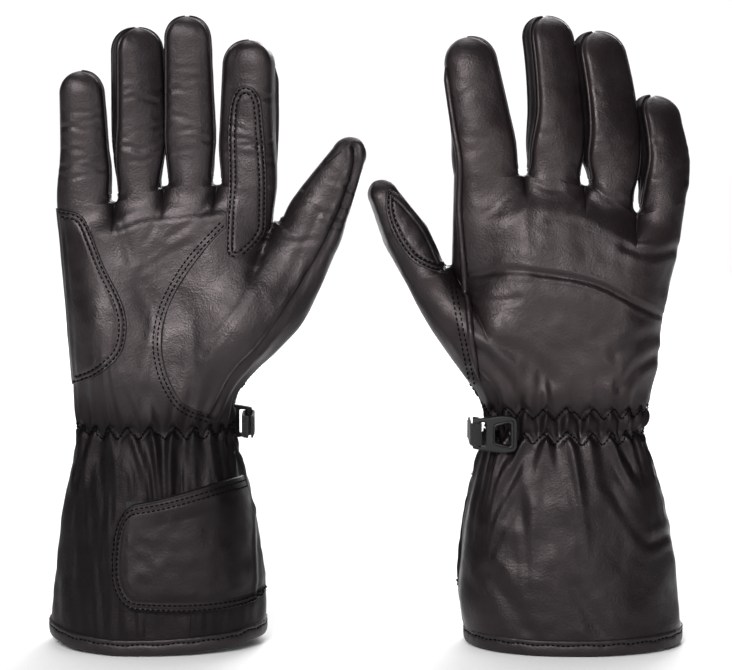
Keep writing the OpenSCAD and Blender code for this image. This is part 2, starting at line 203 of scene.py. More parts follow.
def cross_section(t, half, wall_left, wall_right):
    """Height of a finger's sheet across it, with t from -1 to 1."""
    wall = wall_left + (wall_right - wall_left) * (t + 1) / 2
    crown = np.clip(1 - np.abs(t) ** FINGER_POWER, 0, 1) ** (1 / FINGER_POWER)
    return wall + (half - wall) * crown


# ---------------------------------------------------------------- the glove's skin


class Finger:
    """Axis and size of one finger or the thumb, in the plane of the hand."""

    def __init__(self, spec, left, right, half):
        self.name, tip, self.mid_width, self.tip_width, self.twist, self.curl, self.bow = spec
        self.left, self.right = np.array(left, float), np.array(right, float)
        self.base = (self.left + self.right) / 2
        axis = np.array(tip, float) - self.base
        self.length = np.linalg.norm(axis)
        self.axis = axis / self.length
        self.side = np.array([self.axis[1], -self.axis[0]])
        self.half = half
        self.round = self.tip_width * 0.5
        self.body = self.length - self.round

    def rows(self, slot_left, slot_right):
        """Left and right edge, share of length and shrink toward the tip, for every row."""
        phi = np.pi / 2 * np.arange(1, TIP_ROWS + 1) / TIP_ROWS
        q = np.r_[self.body * np.linspace(0, 1, BODY_ROWS + 1) ** 1.2, self.body + self.round * np.sin(phi)]
        shrink = np.r_[np.ones(BODY_ROWS + 1), np.clip(np.cos(phi), 0, 1) ** 0.85]
        shrink[-1] = 0
        root = (self.right - self.left) / 2
        half_root = np.linalg.norm(root)
        ease = smoothstep(q / (0.4 * self.body))[:, None]
        direction = unit(root / half_root * (1 - ease) + self.side * ease)
        width = np.interp(q, [0, 0.5 * self.body, self.body], [2 * half_root, self.mid_width, self.tip_width])
        ease = ease[:, 0]
        reach = half_root * (1 - ease) + width / 2 * ease
        slot = SLOT * round_off(q, SLOT) * (1 - ease)
        centre = self.base + self.axis * q[:, None]
        left = centre - direction * ((reach - slot * slot_left) * shrink)[:, None]
        right = centre + direction * ((reach - slot * slot_right) * shrink)[:, None]
        return left, right, q / self.length, shrink

    def warp(self, p):
        """Twists and curls points (x, y, z) that lie along this finger."""
        out = p.copy()
        q = (p[:, [0, 2]] - self.base) @ self.axis
        share = np.clip(q / self.length, 0, 1.05)
        across = (p[:, [0, 2]] - self.base) @ self.side
        near = np.exp(-np.clip(np.abs(across) - 22, 0, None) ** 2 / 20)
        angle = np.radians(self.twist) * smoothstep(share / 0.5) * near
        c, s = np.cos(angle), np.sin(angle)
        u, v = across * c - p[:, 1] * s, across * s + p[:, 1] * c
        plane = self.base + self.axis * q[:, None] + self.side * u[:, None]
        arc = 4 * np.clip(share * (1 - share), 0, 1) * smoothstep(q / 12)
        plane = plane - self.side * (self.bow * arc * near)[:, None]
        out[:, 0], out[:, 2] = plane[:, 0], plane[:, 1]
        out[:, 1] = v - self.curl * share**2 * near
        return out


class Skin:
    """The outer leather of one glove as one welded mesh, with a piece name on every face."""

    def __init__(self, key):
        self.key, self.spec = key, GLOVES[key]
        self.points, self.faces, self.labels, self.seams = [], [], [], []
        self.count = 0
        self.outline()
        for side in (-1, 1):
            self.sheets(side)
        self.walls()
        self.weld()

    def outline(self):
        rays = [smooth_line(r) for r in self.spec["rays"]]
        crotch = [r[-1] for r in rays]
        self.rows = []
        for k, ray in enumerate(rays):
            n = THUMB_ROWS if k > 3 else HAND_ROWS
            z = np.r_[np.linspace(ray[0, 1], WRIST_Z, CUFF_ROWS + 1),
                      np.linspace(WRIST_Z, ray[-1, 1], n + 1)[1:]]
            self.rows.append(np.stack([np.interp(z, ray[:, 1], ray[:, 0]), z], 1))
        side = np.array(self.spec["index_side"], float)
        t = np.linspace(0, 1, HAND_ROWS - THUMB_ROWS + 1)[1:, None]
        self.index_row = np.vstack([self.rows[4], crotch[4] + (side - crotch[4]) * t])
        self.fingers = names = [spec[0] for spec in self.spec["fingers"]]
        self.digits = {spec[0]: Finger(spec, *ends, FINGER_HALF) for spec, *ends in
                       zip(self.spec["fingers"], crotch[:4], crotch[1:4] + [side])}
        self.digits["thumb"] = Finger(self.spec["thumb"], crotch[4], crotch[5], THUMB_HALF)
        self.slots = {n: (n != names[0], n != names[-1]) for n in names}
        self.slots["thumb"] = (True, False)
        little, index, thumb = (self.digits[n].rows(*self.slots[n]) for n in ("little", "index", "thumb"))
        self.border = [
            np.vstack([self.rows[0], little[0][::4]]),
            np.vstack([self.rows[5], thumb[1][::4]]),
            np.vstack([index[1][::4][::-1], self.index_row[CUFF_ROWS + THUMB_ROWS:][::-1], thumb[0][::4]]),
        ]

    def hand_height(self, p, side):
        """Half thickness of the hand at points (x, z), rounded toward its outline."""
        table = np.array(PALM_DEPTH if side < 0 else BACK_DEPTH, float)
        d = np.min([line_distance(p, b) for b in self.border], axis=0)
        height = np.interp(p[:, 1], table[:, 0], table[:, 1]) * round_off(d, EDGE_ROUND)
        edge = smoothstep(d / 14)
        for x, z, sx, sz, a in MOUNDS[side]:
            height += a * edge * np.exp(-((p[:, 0] - x) / sx) ** 2 - ((p[:, 1] - z) / sz) ** 2)
        low = 1 - smoothstep((p[:, 1] - WRIST_Z) / WRIST_BLEND)
        left, right = self.edges(p[:, 1])
        wrist = section_y(p[:, 0] - (left + right) / 2, (right - left) / 2, cuff_depth(p[:, 1]))
        return height * (1 - low) + wrist * low

    def blend_weight(self, boundary, line):
        """How far the hand has turned into fingers along one boundary between two rays."""
        reach = THUMB_BLEND if boundary > 3 else FINGER_BLEND
        top = self.rows[boundary][-1, 1]
        return smoothstep((line[:, 1] - top + reach) / reach)

    def edges(self, z):
        """Left and right outline at height z."""
        return [np.interp(z, r[:, 1], r[:, 0]) for r in (self.rows[0], self.rows[5])]

    def add(self, grid, label, seam, flip):
        quads = grid_faces(*grid.shape[:2], flip) + self.count
        self.points.append(grid.reshape(-1, 3))
        self.seams.append(seam.reshape(-1))
        self.faces.append(quads)
        self.labels += [label] * len(quads)
        self.count += seam.size

    def sheets(self, side):
        """The front (side -1) or back (side 1) sheets of the hand, fingers and thumb."""
        t = np.sin(np.pi / 2 * np.linspace(-1, 1, COLUMNS))
        share_x = smoothstep((t + 1) / 2)[None, :]
        panel, word = ("palm", "front") if side < 0 else ("back", "back")
        for k, (name, f) in enumerate(self.digits.items()):
            left, right = self.rows[k], self.index_row if name == "index" else self.rows[k + 1]
            n = len(left)
            fl, fr, share, shrink = f.rows(*self.slots[name])
            left, right = np.vstack([left, fl[1:]]), np.vstack([right, fr[1:]])
            plane = left[:, None] + (right - left)[:, None] * ((t + 1) / 2)[None, :, None]
            along = np.r_[np.zeros(n), share[1:]]
            small = np.r_[np.ones(n), shrink[1:]]
            walls = [WALL if slot and name != "thumb" else 0.0 for slot in self.slots[name]]
            half = np.interp(along, [0, 1], f.half)[:, None]
            height = cross_section(t[None, :], half, *walls) * small[:, None] ** 0.9
            low, high = (self.blend_weight(k + e, line)[:, None] for e, line in enumerate((left, right)))
            weight = low * (1 - share_x) + high * share_x
            weight[n - 1:] = 1
            hand = self.hand_height(plane.reshape(-1, 2), side).reshape(height.shape)
            height = hand * (1 - weight) + height * weight
            grid = np.stack([plane[..., 0], side * height, plane[..., 1]], -1)
            seam = self.seam_distance(name, t, left, right, n)
            label = name if name == "thumb" else f"{name}_{word}"
            for part, rows in ((f"cuff_{word}", slice(0, CUFF_ROWS + 1)), (panel, slice(CUFF_ROWS, n)),
                               (label, slice(n - 1, None))):
                self.add(grid[rows], part, seam[rows], side > 0)

    def seam_distance(self, name, t, left, right, n):
        """Distance of a sheet's points from the nearest seam; the finger starts at row n - 1."""
        width = np.linalg.norm(right - left, axis=1)[:, None] / 2
        seam = np.minimum(1 + t, 1 - t)[None, :] * width
        dist = np.r_[0, np.cumsum(np.linalg.norm(np.diff((left + right) / 2, axis=0), axis=1))]
        onset = 7 * (1 - smoothstep((dist - dist[n - 1]) / 6))[:, None]
        row = np.arange(len(left))[:, None]
        seam = np.where(row >= n - 1, seam + onset, FAR)
        if name in ("little", "thumb", "index"):
            outer = (1 + t if name == "little" else 1 - t)[None, :] * width
            free = row >= (CUFF_ROWS + THUMB_ROWS if name == "index" else 0)
            seam = np.minimum(seam, np.where(free, outer, FAR))
        return seam

    def walls(self):
        """The strips between the front and back of neighbouring fingers."""
        v = np.linspace(-1, 1, WALL_COLUMNS)
        for name in self.fingers:
            f = self.digits[name]
            left, right, share, shrink = f.rows(*self.slots[name])
            bulge = 0.8 * smoothstep(share / 0.12) * shrink
            onset = 7 * (1 - smoothstep(share * f.length / 6))
            out, wall = unit(right - left), WALL * shrink**0.9
            for edge, present, sign in zip((left, right), self.slots[name], (-1, 1)):
                if present:
                    plane = edge[:, None] + sign * out[:, None] * (bulge[:, None] * (1 - v**2))[..., None]
                    grid = np.stack([plane[..., 0], wall[:, None] * v[None, :], plane[..., 1]], -1)
                    seam = wall[:, None] * (1 - np.abs(v))[None, :] + onset[:, None]
                    self.add(grid, f"{name}_fourchettes", seam, sign > 0)

    def weld(self):
        p, seam = np.vstack(self.points), np.concatenate(self.seams)
        faces = np.vstack(self.faces)
        _, first, back = np.unique(np.round(p, 3), axis=0, return_index=True, return_inverse=True)
        back = back.reshape(-1)
        self.seam = np.full(len(first), FAR)
        np.minimum.at(self.seam, back, seam)
        self.p, self.f = p[first], back[faces]
        self.labels = np.array(self.labels)
        self.p += self.normals() * self.relief()[:, None]
        self.p[:, 2] += hem_raise(self.key, self.p)

    def normals(self, p=None):
        p = self.p if p is None else p
        n = np.cross(p[self.f[:, 2]] - p[self.f[:, 0]], p[self.f[:, 3]] - p[self.f[:, 1]])
        out = np.zeros_like(p)
        for k in range(4):
            np.add.at(out, self.f[:, k], n)
        return unit(out)

    def relief(self):
        """Seam grooves, creases, folds and gathers, as a height along the normal."""
        p, side = self.p, np.where(self.p[:, 1] > 0, 1, -1)
        flat = p[:, [0, 2]]
        relief = SEAM_RIM * bell(self.seam - 2.4, 1.3) - SEAM_GROOVE * bell(self.seam, 0.9)
        fade = smoothstep(self.seam / 2.5)
        palm_share = smoothstep(0.5 - p[:, 1] / 9)
        for f in self.digits.values():
            q, u = (flat - f.base) @ f.axis, (flat - f.base) @ f.side
            on = (np.abs(u) < f.tip_width * 0.75) & (q > 1)
            calm = fade * smoothstep(np.abs(p[:, 1]) / 5) * smoothstep(q / 5)
            relief += np.where(on, calm * finger_relief(f, q, u, palm_share, self.key), 0)
        for points, depth, width, which in strokes(self):
            d = line_distance(flat, smooth_line(points, 10))
            dent = 0.4 * depth * bell(d - 2 * width, width) - depth * bell(d, width)
            relief += np.where(side == which, fade * dent, 0)
        relief += gathers(self.key, p)
        cuff = smoothstep((WRIST_Z - 8 - p[:, 2]) / 20) * (side < 0)
        for i, q in enumerate(p):
            v = Vector(q)
            soft = noise.noise(v / 17) * 0.8 + noise.noise(v / 7 + Vector((9, 2, 5))) * 0.28
            relief[i] += soft * fade[i] * (0.7 if side[i] < 0 else 1.0)
            if cuff[i] > 0:
                fine = noise.noise(Vector((q[0] / 3.1 + q[2] / 60, 4.2, q[2] / 38)))
                fine += 0.6 * noise.noise(Vector((q[0] / 1.7 - q[2] / 70, 9.1, q[2] / 30)))
                relief[i] += 0.85 * fine * cuff[i]
        relief *= 0.25 + 0.75 * smoothstep((p[:, 2] - 6) / 9)
        x0, x1, z0, z1 = PAD_AREA
        pad = smoothstep((z1 - p[:, 2]) / 5) * smoothstep((p[:, 2] - z0) / 4)
        pad *= smoothstep((p[:, 0] - x0) / 5) * smoothstep((x1 - p[:, 0]) / 5) * (side < 0)
        return relief * (1 - pad) + np.minimum(relief, 0.2) * pad


def section_y(x, half_w, half_d):
    return half_d * np.clip(1 - np.abs(x / half_w) ** BODY_POWER, 0, 1) ** (1 / BODY_POWER)


def cuff_depth(z):
    """Half depth of the cuff and the wrist at height z."""
    return WRIST_HALF[1] + FLARE * (1 - (np.clip(z, 0, WRIST_Z) / WRIST_Z) ** FLARE_POWER)


HEM_RAISE = {
    "a": ([-60, -44, -22, 0, 20, 44, 48, 60], [6.0, 2.2, 0, 0.5, 1.6, 3.4, 5.0, 5.5]),
    "b": ([-60, -40, -10, 20, 45, 60], [1.6, 0.8, 0, 0, 0.8, 1.6]),
}


def hem_raise(key, p):
    """How far the hem's edge is cut up from the floor, fading up the cuff."""
    x, rise = HEM_RAISE[key]
    return np.interp(p[:, 0], x, rise) * (1 - smoothstep(p[:, 2] / 50))


WRIST_CENTRE = {"a": -1.2, "b": 3.2}
WRIST_HALF = (43.0, 25.0)   # half width and half depth at the wrist seam
FLARE = 13                  # what the cuff's half depth gains down to its hem
FLARE_POWER = 1.7
PLEATS = {-1: (3.0, 24), 1: (2.2, 13)}      # height and reach of the pleats above the rows, by side
PLEAT_DOWN = (3.4, 30)                      # the same below the rows
ROW_DENT = 1.5                              # how deep a stitch row draws the leather in

# Joint creases of a finger: share of its length, depth
FINGER_CREASES = ((0.22, 0.35), (0.29, 0.8), (0.335, 0.5), (0.4, 0.45), (0.58, 0.75), (0.63, 0.5),
                  (0.7, 0.3))


def finger_relief(f, q, u, side, key):
    """Joint creases on the palm side (side 1) and soft knuckle folds on the back (side 0)."""
    out = np.zeros(len(q))
    seed = sum(ord(c) for c in f.name + key)
    for k, (at, depth) in enumerate(FINGER_CREASES):
        lean = 0.2 * math.sin(seed + 2.3 * k)
        wander = 0.9 * np.sin(u / 3.4 + k + seed) + 0.4 * np.sin(u / 1.6 + 2 * k)
        d = (q / f.length - at) * f.length - lean * u + wander
        part = depth * (0.55 + 0.45 * np.sin(u / 5.5 + 1.7 * k + seed))
        front = 0.4 * bell(np.abs(d) - 2.6, 1.6) - bell(d, 0.95)
        out += part * (front * side - 0.5 * bell(d, 2.0) * (1 - side))
    return out


def on_finger(f, points, stretch=1.0):
    """Points (across, along) of a finger as (x, z), with the along part stretched."""
    return [tuple(f.base + f.axis * q * stretch + f.side * u) for u, q in points]


def thumb_seam(skin):
    """Seam between the thumb's front leather and the strip along its outer side."""
    f = skin.digits["thumb"]
    tail = on_finger(f, [(10.0, 18), (8.3, 32), (5.5, 46), (1, 55)], f.length / THUMB_FULL)
    if skin.key == "a":
        return [(30, 126.5), (42.6, 149.2), (56, 163.6), (70.9, 184.4), (86.5, 210)] + tail
    return [(32, 126.5), (44, 143), (56, 155), (67, 170), (79, 191)] + tail


# Creases and folds of each glove's hand: points, depth, width, side
STROKES = {
    "a": [
        ([(-18, 226), (-6, 231), (8, 232), (26, 234), (40, 236)], 0.4, 1.8, -1),
        ([(-22, 238), (-16, 224), (-12, 208)], 0.4, 1.9, -1),
        ([(5, 246), (2, 232), (-4, 218)], 0.25, 1.8, -1),
        ([(33, 247), (24, 232), (8, 220)], 0.3, 1.8, -1),
        ([(30, 222), (12, 214), (-8, 202)], 0.18, 1.5, -1),
        ([(-6, 196), (0, 176), (-3, 152)], 0.5, 4.0, -1),
        ([(57, 213), (49, 190), (37, 174), (26, 159)], 0.6, 1.5, -1),
        ([(50, 204), (58, 186), (60, 172)], 0.3, 1.6, -1),
        ([(59, 220), (72, 218), (86, 219)], 0.5, 1.5, -1),
        ([(87, 234), (79, 215), (68, 192)], 0.45, 1.8, -1),
        ([(-46, 180), (-20, 200), (10, 202), (50, 196)], 1.6, 4.0, 1),
        ([(-40, 222), (0, 228), (50, 230)], 1.2, 3.0, 1),
    ],
    "b": [
        ([(57, 199.5), (36, 203.6), (16, 202), (-2, 199), (-16, 194.5), (-32, 186), (-50, 177)],
         1.25, 1.3, 1),
        ([(57, 199), (36, 203), (16, 201), (-2, 198), (-16, 193), (-32, 185), (-52, 175)], 0.7, 5.0, 1),
        ([(-56, 214), (-40, 212), (-26, 216)], 0.8, 2.4, 1),
        ([(56, 190), (44, 187), (30, 189)], 0.5, 1.5, 1),
        ([(54, 183), (42, 182)], 0.4, 1.5, 1),
        ([(56, 164), (44, 156), (34, 143), (30, 132)], 1.2, 3.0, 1),
        ([(54, 150), (44, 142), (40, 131)], 0.9, 2.2, 1),
        ([(54, 176), (42, 166), (26, 158), (14, 146)], 0.8, 4.0, 1),
        ([(-46, 158), (-34, 152), (-24, 142)], 0.9, 2.6, 1),
        ([(-48, 170), (-36, 168), (-22, 160)], 0.7, 3.4, 1),
        ([(22, 250), (14, 246), (8, 246)], 0.4, 1.6, 1),
        ([(-10, 246), (-18, 241), (-24, 241)], 0.4, 1.6, 1),
        ([(60, 236), (50, 232), (40, 234)], 0.6, 1.8, 1),
        ([(27, 250), (38, 240), (48, 232)], 0.5, 1.6, 1),
        ([(-7, 246), (2, 236), (14, 230)], 0.45, 1.5, 1),
        ([(-54, 62), (-39, 59), (-28, 74), (-20, 88)], 0.75, 2.6, 1),
        ([(44, 42), (34, 28), (26, 14)], 0.7, 4.0, 1),
        ([(0, 36), (-10, 22), (-16, 10)], 0.6, 4.0, 1),
        ([(-40, 216), (-10, 212), (30, 216)], 1.2, 3.0, -1),
        ([(-10, 230), (-4, 200), (-8, 160)], 0.9, 4.0, -1),
    ],
}


def strokes(skin):
    seam = [(thumb_seam(skin), 1.8, 1.5, -1)] if skin.key == "a" else []
    return seam + STROKES[skin.key]


TEETH = 12                          # teeth in half a zigzag row
ROW_ARC = 176                       # degrees
TOOTH = math.radians(ROW_ARC / TEETH)
FIRST_TOOTH = {-1: 182, 1: 2}       # where the rows start on the palm side and on the back
ZIGZAGS = ((-1, 117.5), (1, 127.5), (1, 114.5))     # side of the glove and height of each row


def zigzag(theta, side):
    """Rise of a zigzag row at angle theta, and how close theta is to a peak, from 0 to 1."""
    share = ((theta - math.radians(FIRST_TOOTH[side])) / TOOTH) % 1
    return 3.3 * (2 * np.abs(2 * share - 1) - 1), 0.5 + 0.5 * np.cos(2 * np.pi * share)


def gathers(key, p):
    """Pleats that the elastic draws up above and below the wrist."""
    half_w, half_d = WRIST_HALF
    seed = 0.7 if key == "a" else 2.1
    theta = np.arctan2(p[:, 1] / half_d, (p[:, 0] - WRIST_CENTRE[key]) / half_w) % (2 * np.pi)
    out = np.zeros(len(p))
    for side in (-1, 1):
        rows = [z for which, z in ZIGZAGS if which == side]
        rise, _ = zigzag(theta, side)
        below, above = p[:, 2] - (min(rows) + rise), p[:, 2] - (max(rows) + rise)
        lean = 0.007 * np.sin(3 * theta + seed) + 0.005 * np.sin(7 * theta + 2 * seed)
        away = np.where(below < 0, below, np.clip(above, 0, None))
        _, ridge = zigzag(theta + lean * away, side)
        odd = 0.78 + 0.3 * np.sin(5.3 * theta + seed) + 0.2 * np.sin(11.7 * theta + 3 * seed)
        down, up = np.clip(-below, 0, None), np.clip(above, 0, None)
        tall, reach = PLEAT_DOWN
        pleat = tall * odd * (ridge ** 1.2 - 0.35) * smoothstep(down / 4) * np.exp(-(down / reach) ** 1.3)
        tall, reach = PLEATS[side]
        pleat += tall * odd * (ridge - 0.5) * smoothstep(up / 4) * np.exp(-(up / reach) ** 1.2)
        gap = max(rows) - min(rows)
        if gap:
            puff = 3.2 * (ridge - 0.3) + 0.7 * np.cos(2 * np.pi * theta / TOOTH * 2)
            rise_between = np.sin(np.pi * np.clip(below / gap, 0, 1))
            pleat += np.where((below > 0) & (above < 0), puff * rise_between, 0)
        for z in rows:
            pleat -= ROW_DENT * bell(p[:, 2] - z - rise, 1.6)
        out += pleat * smoothstep(0.5 + side * np.sin(theta) / 0.24)
    dz = WRIST_Z - p[:, 2]
    fold = np.sin(7 * theta + seed + dz / 40) + 0.6 * np.sin(13 * theta + 2.6 * seed - dz / 34)
    out += 0.9 * fold * smoothstep(dz / 16) * np.exp(-(np.clip(dz, 0, None) / 62) ** 2)
    out += 0.5 * np.sin(9 * theta + seed) * smoothstep(-dz / 12) * np.exp(-(np.clip(-dz, 0, None) / 30) ** 2)
    return out


# ---------------------------------------------------------------- meshes and pieces


def new_object(name, data):
    ob = bpy.data.objects.new(name, data)
    bpy.context.scene.collection.objects.link(ob)
    return ob


def place(key, p):
    """Points from a glove's own frame in millimetres to the row frame in metres."""
    low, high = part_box(f"{key}_hem_binding")
    turn = GLOVES[key]["turn"]
    p = np.asarray(p, float)
    return p * MM * np.array([turn, turn, 1]) + np.array([(low.x + high.x) / 2, 0, 0])


def mesh_piece(name, key, parts, normals=None):
    """One object from parts (points, faces, material name), in the row frame."""
    points, faces, slots = [], [], []
    materials = list(dict.fromkeys(material for _, _, material in parts))
    start = 0
    for p, f, material in parts:
        points.append(place(key, p))
        faces += [[int(i) + start for i in dict.fromkeys(face)] for face in f]
        slots += [materials.index(material)] * len(f)
        start += len(p)
    mesh = bpy.data.meshes.new(name)
    mesh.from_pydata(np.vstack(points).tolist(), [], faces)
    mesh.validate()
    for m in materials:
        mesh.materials.append(MATERIALS[m])
    mesh.polygons.foreach_set("material_index", slots)
    mesh.polygons.foreach_set("use_smooth", [True] * len(faces))
    if normals is not None:
        turn = GLOVES[key]["turn"]
        mesh.normals_split_custom_set_from_vertices((normals * np.array([turn, turn, 1])).tolist())
    mesh.update()
    return new_object(name, mesh)


def add_piece(skin, name, parts, node=None, body="hand", digit=None, normals=None):
    """One visible piece of a glove, parented to a body, or with its placement baked in when it lies on a
    digit.
    """
    ob = mesh_piece(f"{skin.key}_{name}", skin.key, parts, normals)
    if node:
        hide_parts(f"{skin.key}_{node}")
    if digit:
        blend_to_finger(ob)
    elif body:
        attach(ob, f"{skin.key}_{body}")
    return ob


def grid_faces(rows, cols, flip=False, ring=False):
    index = np.arange(rows * cols).reshape(rows, cols)
    if ring:
        index = np.hstack([index, index[:, :1]])
    a, b, c, d = index[:-1, :-1], index[:-1, 1:], index[1:, 1:], index[1:, :-1]
    return np.stack([a, b, c, d] if not flip else [a, d, c, b], -1).reshape(-1, 4)


def tube_faces(rows, sides):
    """Faces of a tube of rings, closed at both ends."""
    ends = [list(range(sides))[::-1], list(range((rows - 1) * sides, rows * sides))]
    return grid_faces(rows, sides, ring=True).tolist() + ends


def joined(meshes):
    """Several (points, faces) as one."""
    starts = np.cumsum([0] + [len(p) for p, _ in meshes]).tolist()
    faces = [[i + start for i in face] for (_, part), start in zip(meshes, starts) for face in part]
    return np.vstack([p for p, _ in meshes]), faces


def two_layers(top, under):
    """A grid of points over another one, facing outward on both sides."""
    rows, cols = top.shape[:2]
    faces = grid_faces(rows, cols).tolist() + (grid_faces(rows, cols, flip=True) + rows * cols).tolist()
    return np.vstack([top.reshape(-1, 3), under.reshape(-1, 3)]), faces


def tube_mesh(path, radius, sides=8):
    """A round cord along 3-D points, closed at both ends."""
    d = unit(np.gradient(path, axis=0))
    a = unit(np.cross(d, np.tile([0.0, 1.0, 0.13], (len(path), 1))))
    b = np.cross(d, a)
    angle = circle(sides)[None, :, None]
    ring = a[:, None] * np.cos(angle) + b[:, None] * np.sin(angle)
    p = path[:, None] + ring * np.broadcast_to(radius, len(path))[:, None, None]
    return p.reshape(-1, 3), tube_faces(len(path), sides)


# A thread from end to end: place along it, rise, share of its radius
STITCH_PROFILE = ((-0.5, -0.3, 0.5), (-0.34, 0.08, 0.9), (0.0, 0.2, 1.0), (0.34, 0.08, 0.9), (0.5, -0.3, 0.5))
STITCH_SIDES = 6
STITCH_GAPS = (0.3, 6)      # a thread is laid only between points this far apart


def stitch_mesh(points, normals, length=2.0, radius=0.4):
    """Short threads laid along a line of points, each dipping into the leather at its ends."""
    angle = circle(STITCH_SIDES)[:, None]
    faces = tube_faces(len(STITCH_PROFILE), STITCH_SIDES)
    threads = []
    for p, q, n in zip(points[:-1], points[1:], normals[:-1]):
        size = np.linalg.norm(q - p)
        if STITCH_GAPS[0] <= size <= STITCH_GAPS[1]:
            d = (q - p) / size
            s = unit(np.cross(d, n))
            up = np.cross(s, d)
            ring = s * np.cos(angle) + up * np.sin(angle)
            rings = [(p + q) / 2 + d * (a * length) + up * b + ring * (radius * r)
                     for a, b, r in STITCH_PROFILE]
            threads.append((np.vstack(rings), faces))
    return joined(threads)


def stitch_row(hits, normals, lift, pitch=None, **size):
    """Stitches at even distances along points on a surface."""
    line = resample(hits, pitch=pitch or STITCH_PITCH)
    out = columns_at(np.linspace(0, 1, len(line)), np.linspace(0, 1, len(normals)), normals)
    return stitch_mesh(line + out * lift, out, **size)


class Surface:
    """A mesh that lines and patches are laid on."""

    def __init__(self, p, faces):
        self.tree = BVHTree.FromPolygons([Vector(v) for v in p], [list(map(int, f)) for f in faces])

    def drop(self, flat, side):
        """Points (x, z) dropped along Y on the palm (side -1) or back (side 1), and normals."""
        found = []
        for x, z in flat:
            hit, n, _, _ = self.tree.ray_cast(Vector((x, side * 300, z)), Vector((0, -side, 0)))
            if hit is None:
                hit, n, _, _ = self.tree.find_nearest(Vector((x, side * 2, z)))
            found.append((hit, -n if n.y * side < 0 else n))
        return [np.array(v) for v in zip(*found)]

    def nearest(self, guesses, centre_x=0.0):
        """Nearest points to guesses round the cuff, and normals away from its axis."""
        found = []
        for g in guesses:
            hit, n, _, _ = self.tree.find_nearest(Vector(g))
            found.append((hit, -n if n.x * (g[0] - centre_x) + n.y * g[1] < 0 else n))
        return [np.array(v) for v in zip(*found)]


PATCH_H = 1.15              # how far a patch stands proud
PATCH_ROWS, PATCH_COLUMNS = 96, 22
STITCH_PITCH = 2.7
ROWS = (1.5, 3.9)           # first and second stitch row, from the patch's edge
LIP_ROWS = (-1.6, -3.9)     # the same where the leather beside the edge is stitched


def edge_spacing(width, inner):
    """Shares across a patch, close together at its edges."""
    fine = np.array([0, 0.2, 0.55, 1.0, 1.5, 2.1]) / width
    return np.r_[fine, np.linspace(fine[-1], 1 - fine[-1], inner + 1)[1:-1], 1 - fine[::-1]]


def patch(surface, left, right, side, height, lip, calm):
    """A patch between two plane curves, laid on the skin."""
    ends = [resample(line, PATCH_ROWS * 3) for line in (left, right)]
    v = edge_spacing(np.linalg.norm(ends[0][-1] - ends[0][0]), PATCH_ROWS)
    l, r = (columns_at(v, np.linspace(0, 1, PATCH_ROWS * 3), line) for line in ends)
    u = edge_spacing(np.median(np.linalg.norm(r - l, axis=1)), PATCH_COLUMNS)
    flat = (l[:, None] + (r - l)[:, None] * u[None, :, None]).reshape(-1, 2)
    base, normal = surface.drop(flat, side)
    d = np.min([line_distance(flat, line) for line in (left, right)], axis=0)
    lift = height * round_off(d, 0.9) - 0.2
    if not lip:
        for row in ROWS:
            lift -= 0.5 * bell(d - row, 0.55)
        lift += 0.15 * bell(d - sum(ROWS) / 2, 0.7)
    if calm is not None:
        lift = 0.1 + (lift - 0.1) * smoothstep((np.linalg.norm(flat - calm, axis=1) - 5) / 12)
    normal = smooth_grid(normal.reshape(len(v), len(u), 3)).reshape(-1, 3)
    return base + normal * lift[:, None], grid_faces(len(v), len(u), flip=side > 0)


def smooth_grid(n):
    """Averages a grid of directions with its neighbours."""
    out = n.copy()
    for _ in range(2):
        out[1:-1] = (out[:-2] + 2 * out[1:-1] + out[2:]) / 4
        out[:, 1:-1] = (out[:, :-2] + 2 * out[:, 1:-1] + out[:, 2:]) / 4
    return unit(out)


def stitches_on(surface, lines, side):
    """Stitches along plane lines on a surface."""
    rows = []
    for line in lines:
        hits, normals = surface.drop(resample(line, pitch=STITCH_PITCH), side)
        rows.append(stitch_mesh(hits + normals * 0.1, normals))
    return joined(rows)


# ---------------------------------------------------------------- materials


def new_material(name):
    material = bpy.data.materials.new(name)
    material.use_nodes = True
    tree = material.node_tree
    tree.nodes.clear()
    out = tree.nodes.new("ShaderNodeOutputMaterial")
    shader = tree.nodes.new("ShaderNodeBsdfPrincipled")
    tree.links.new(shader.outputs[0], out.inputs[0])
    coords = tree.nodes.new("ShaderNodeTexCoord")
    return material, tree, shader, coords.outputs["Object"]


def noise_at(tree, coords, scale, detail, kind="ShaderNodeTexNoise", output="Fac", **more):
    node = tree.nodes.new(kind)
    tree.links.new(coords, node.inputs["Vector"])
    node.inputs["Scale"].default_value = scale
    node.inputs["Detail"].default_value = detail
    for name, value in more.items():
        setattr(node, name, value)
    return node.outputs[output]


def bands_at(tree, coords, scale, distortion=0.0):
    node = tree.nodes.new("ShaderNodeTexWave")
    tree.links.new(coords, node.inputs["Vector"])
    node.wave_type, node.bands_direction = "BANDS", "DIAGONAL"
    node.inputs["Scale"].default_value = scale
    node.inputs["Distortion"].default_value = distortion
    return node.outputs["Fac"]


def ramp(tree, value, *stops):
    node = tree.nodes.new("ShaderNodeValToRGB")
    for e, (at, colour) in zip(node.color_ramp.elements, stops):
        e.position, e.color = at, (*colour, 1)
    tree.links.new(value, node.inputs["Fac"])
    return node.outputs["Color"]


def grey(value):
    return (value, value, value)


def painted(tree, name, pattern=None):
    """A painted attribute of the mesh, times a pattern if there is one."""
    node = tree.nodes.new("ShaderNodeAttribute")
    node.attribute_name = name
    if pattern is None:
        return node.outputs["Fac"]
    product = tree.nodes.new("ShaderNodeMath")
    product.operation = "MULTIPLY"
    tree.links.new(node.outputs["Fac"], product.inputs[0])
    tree.links.new(pattern, product.inputs[1])
    return product.outputs[0]


MIX_A, MIX_B, MIX_RESULT = 6, 7, 2      # the colour sockets of a mix node


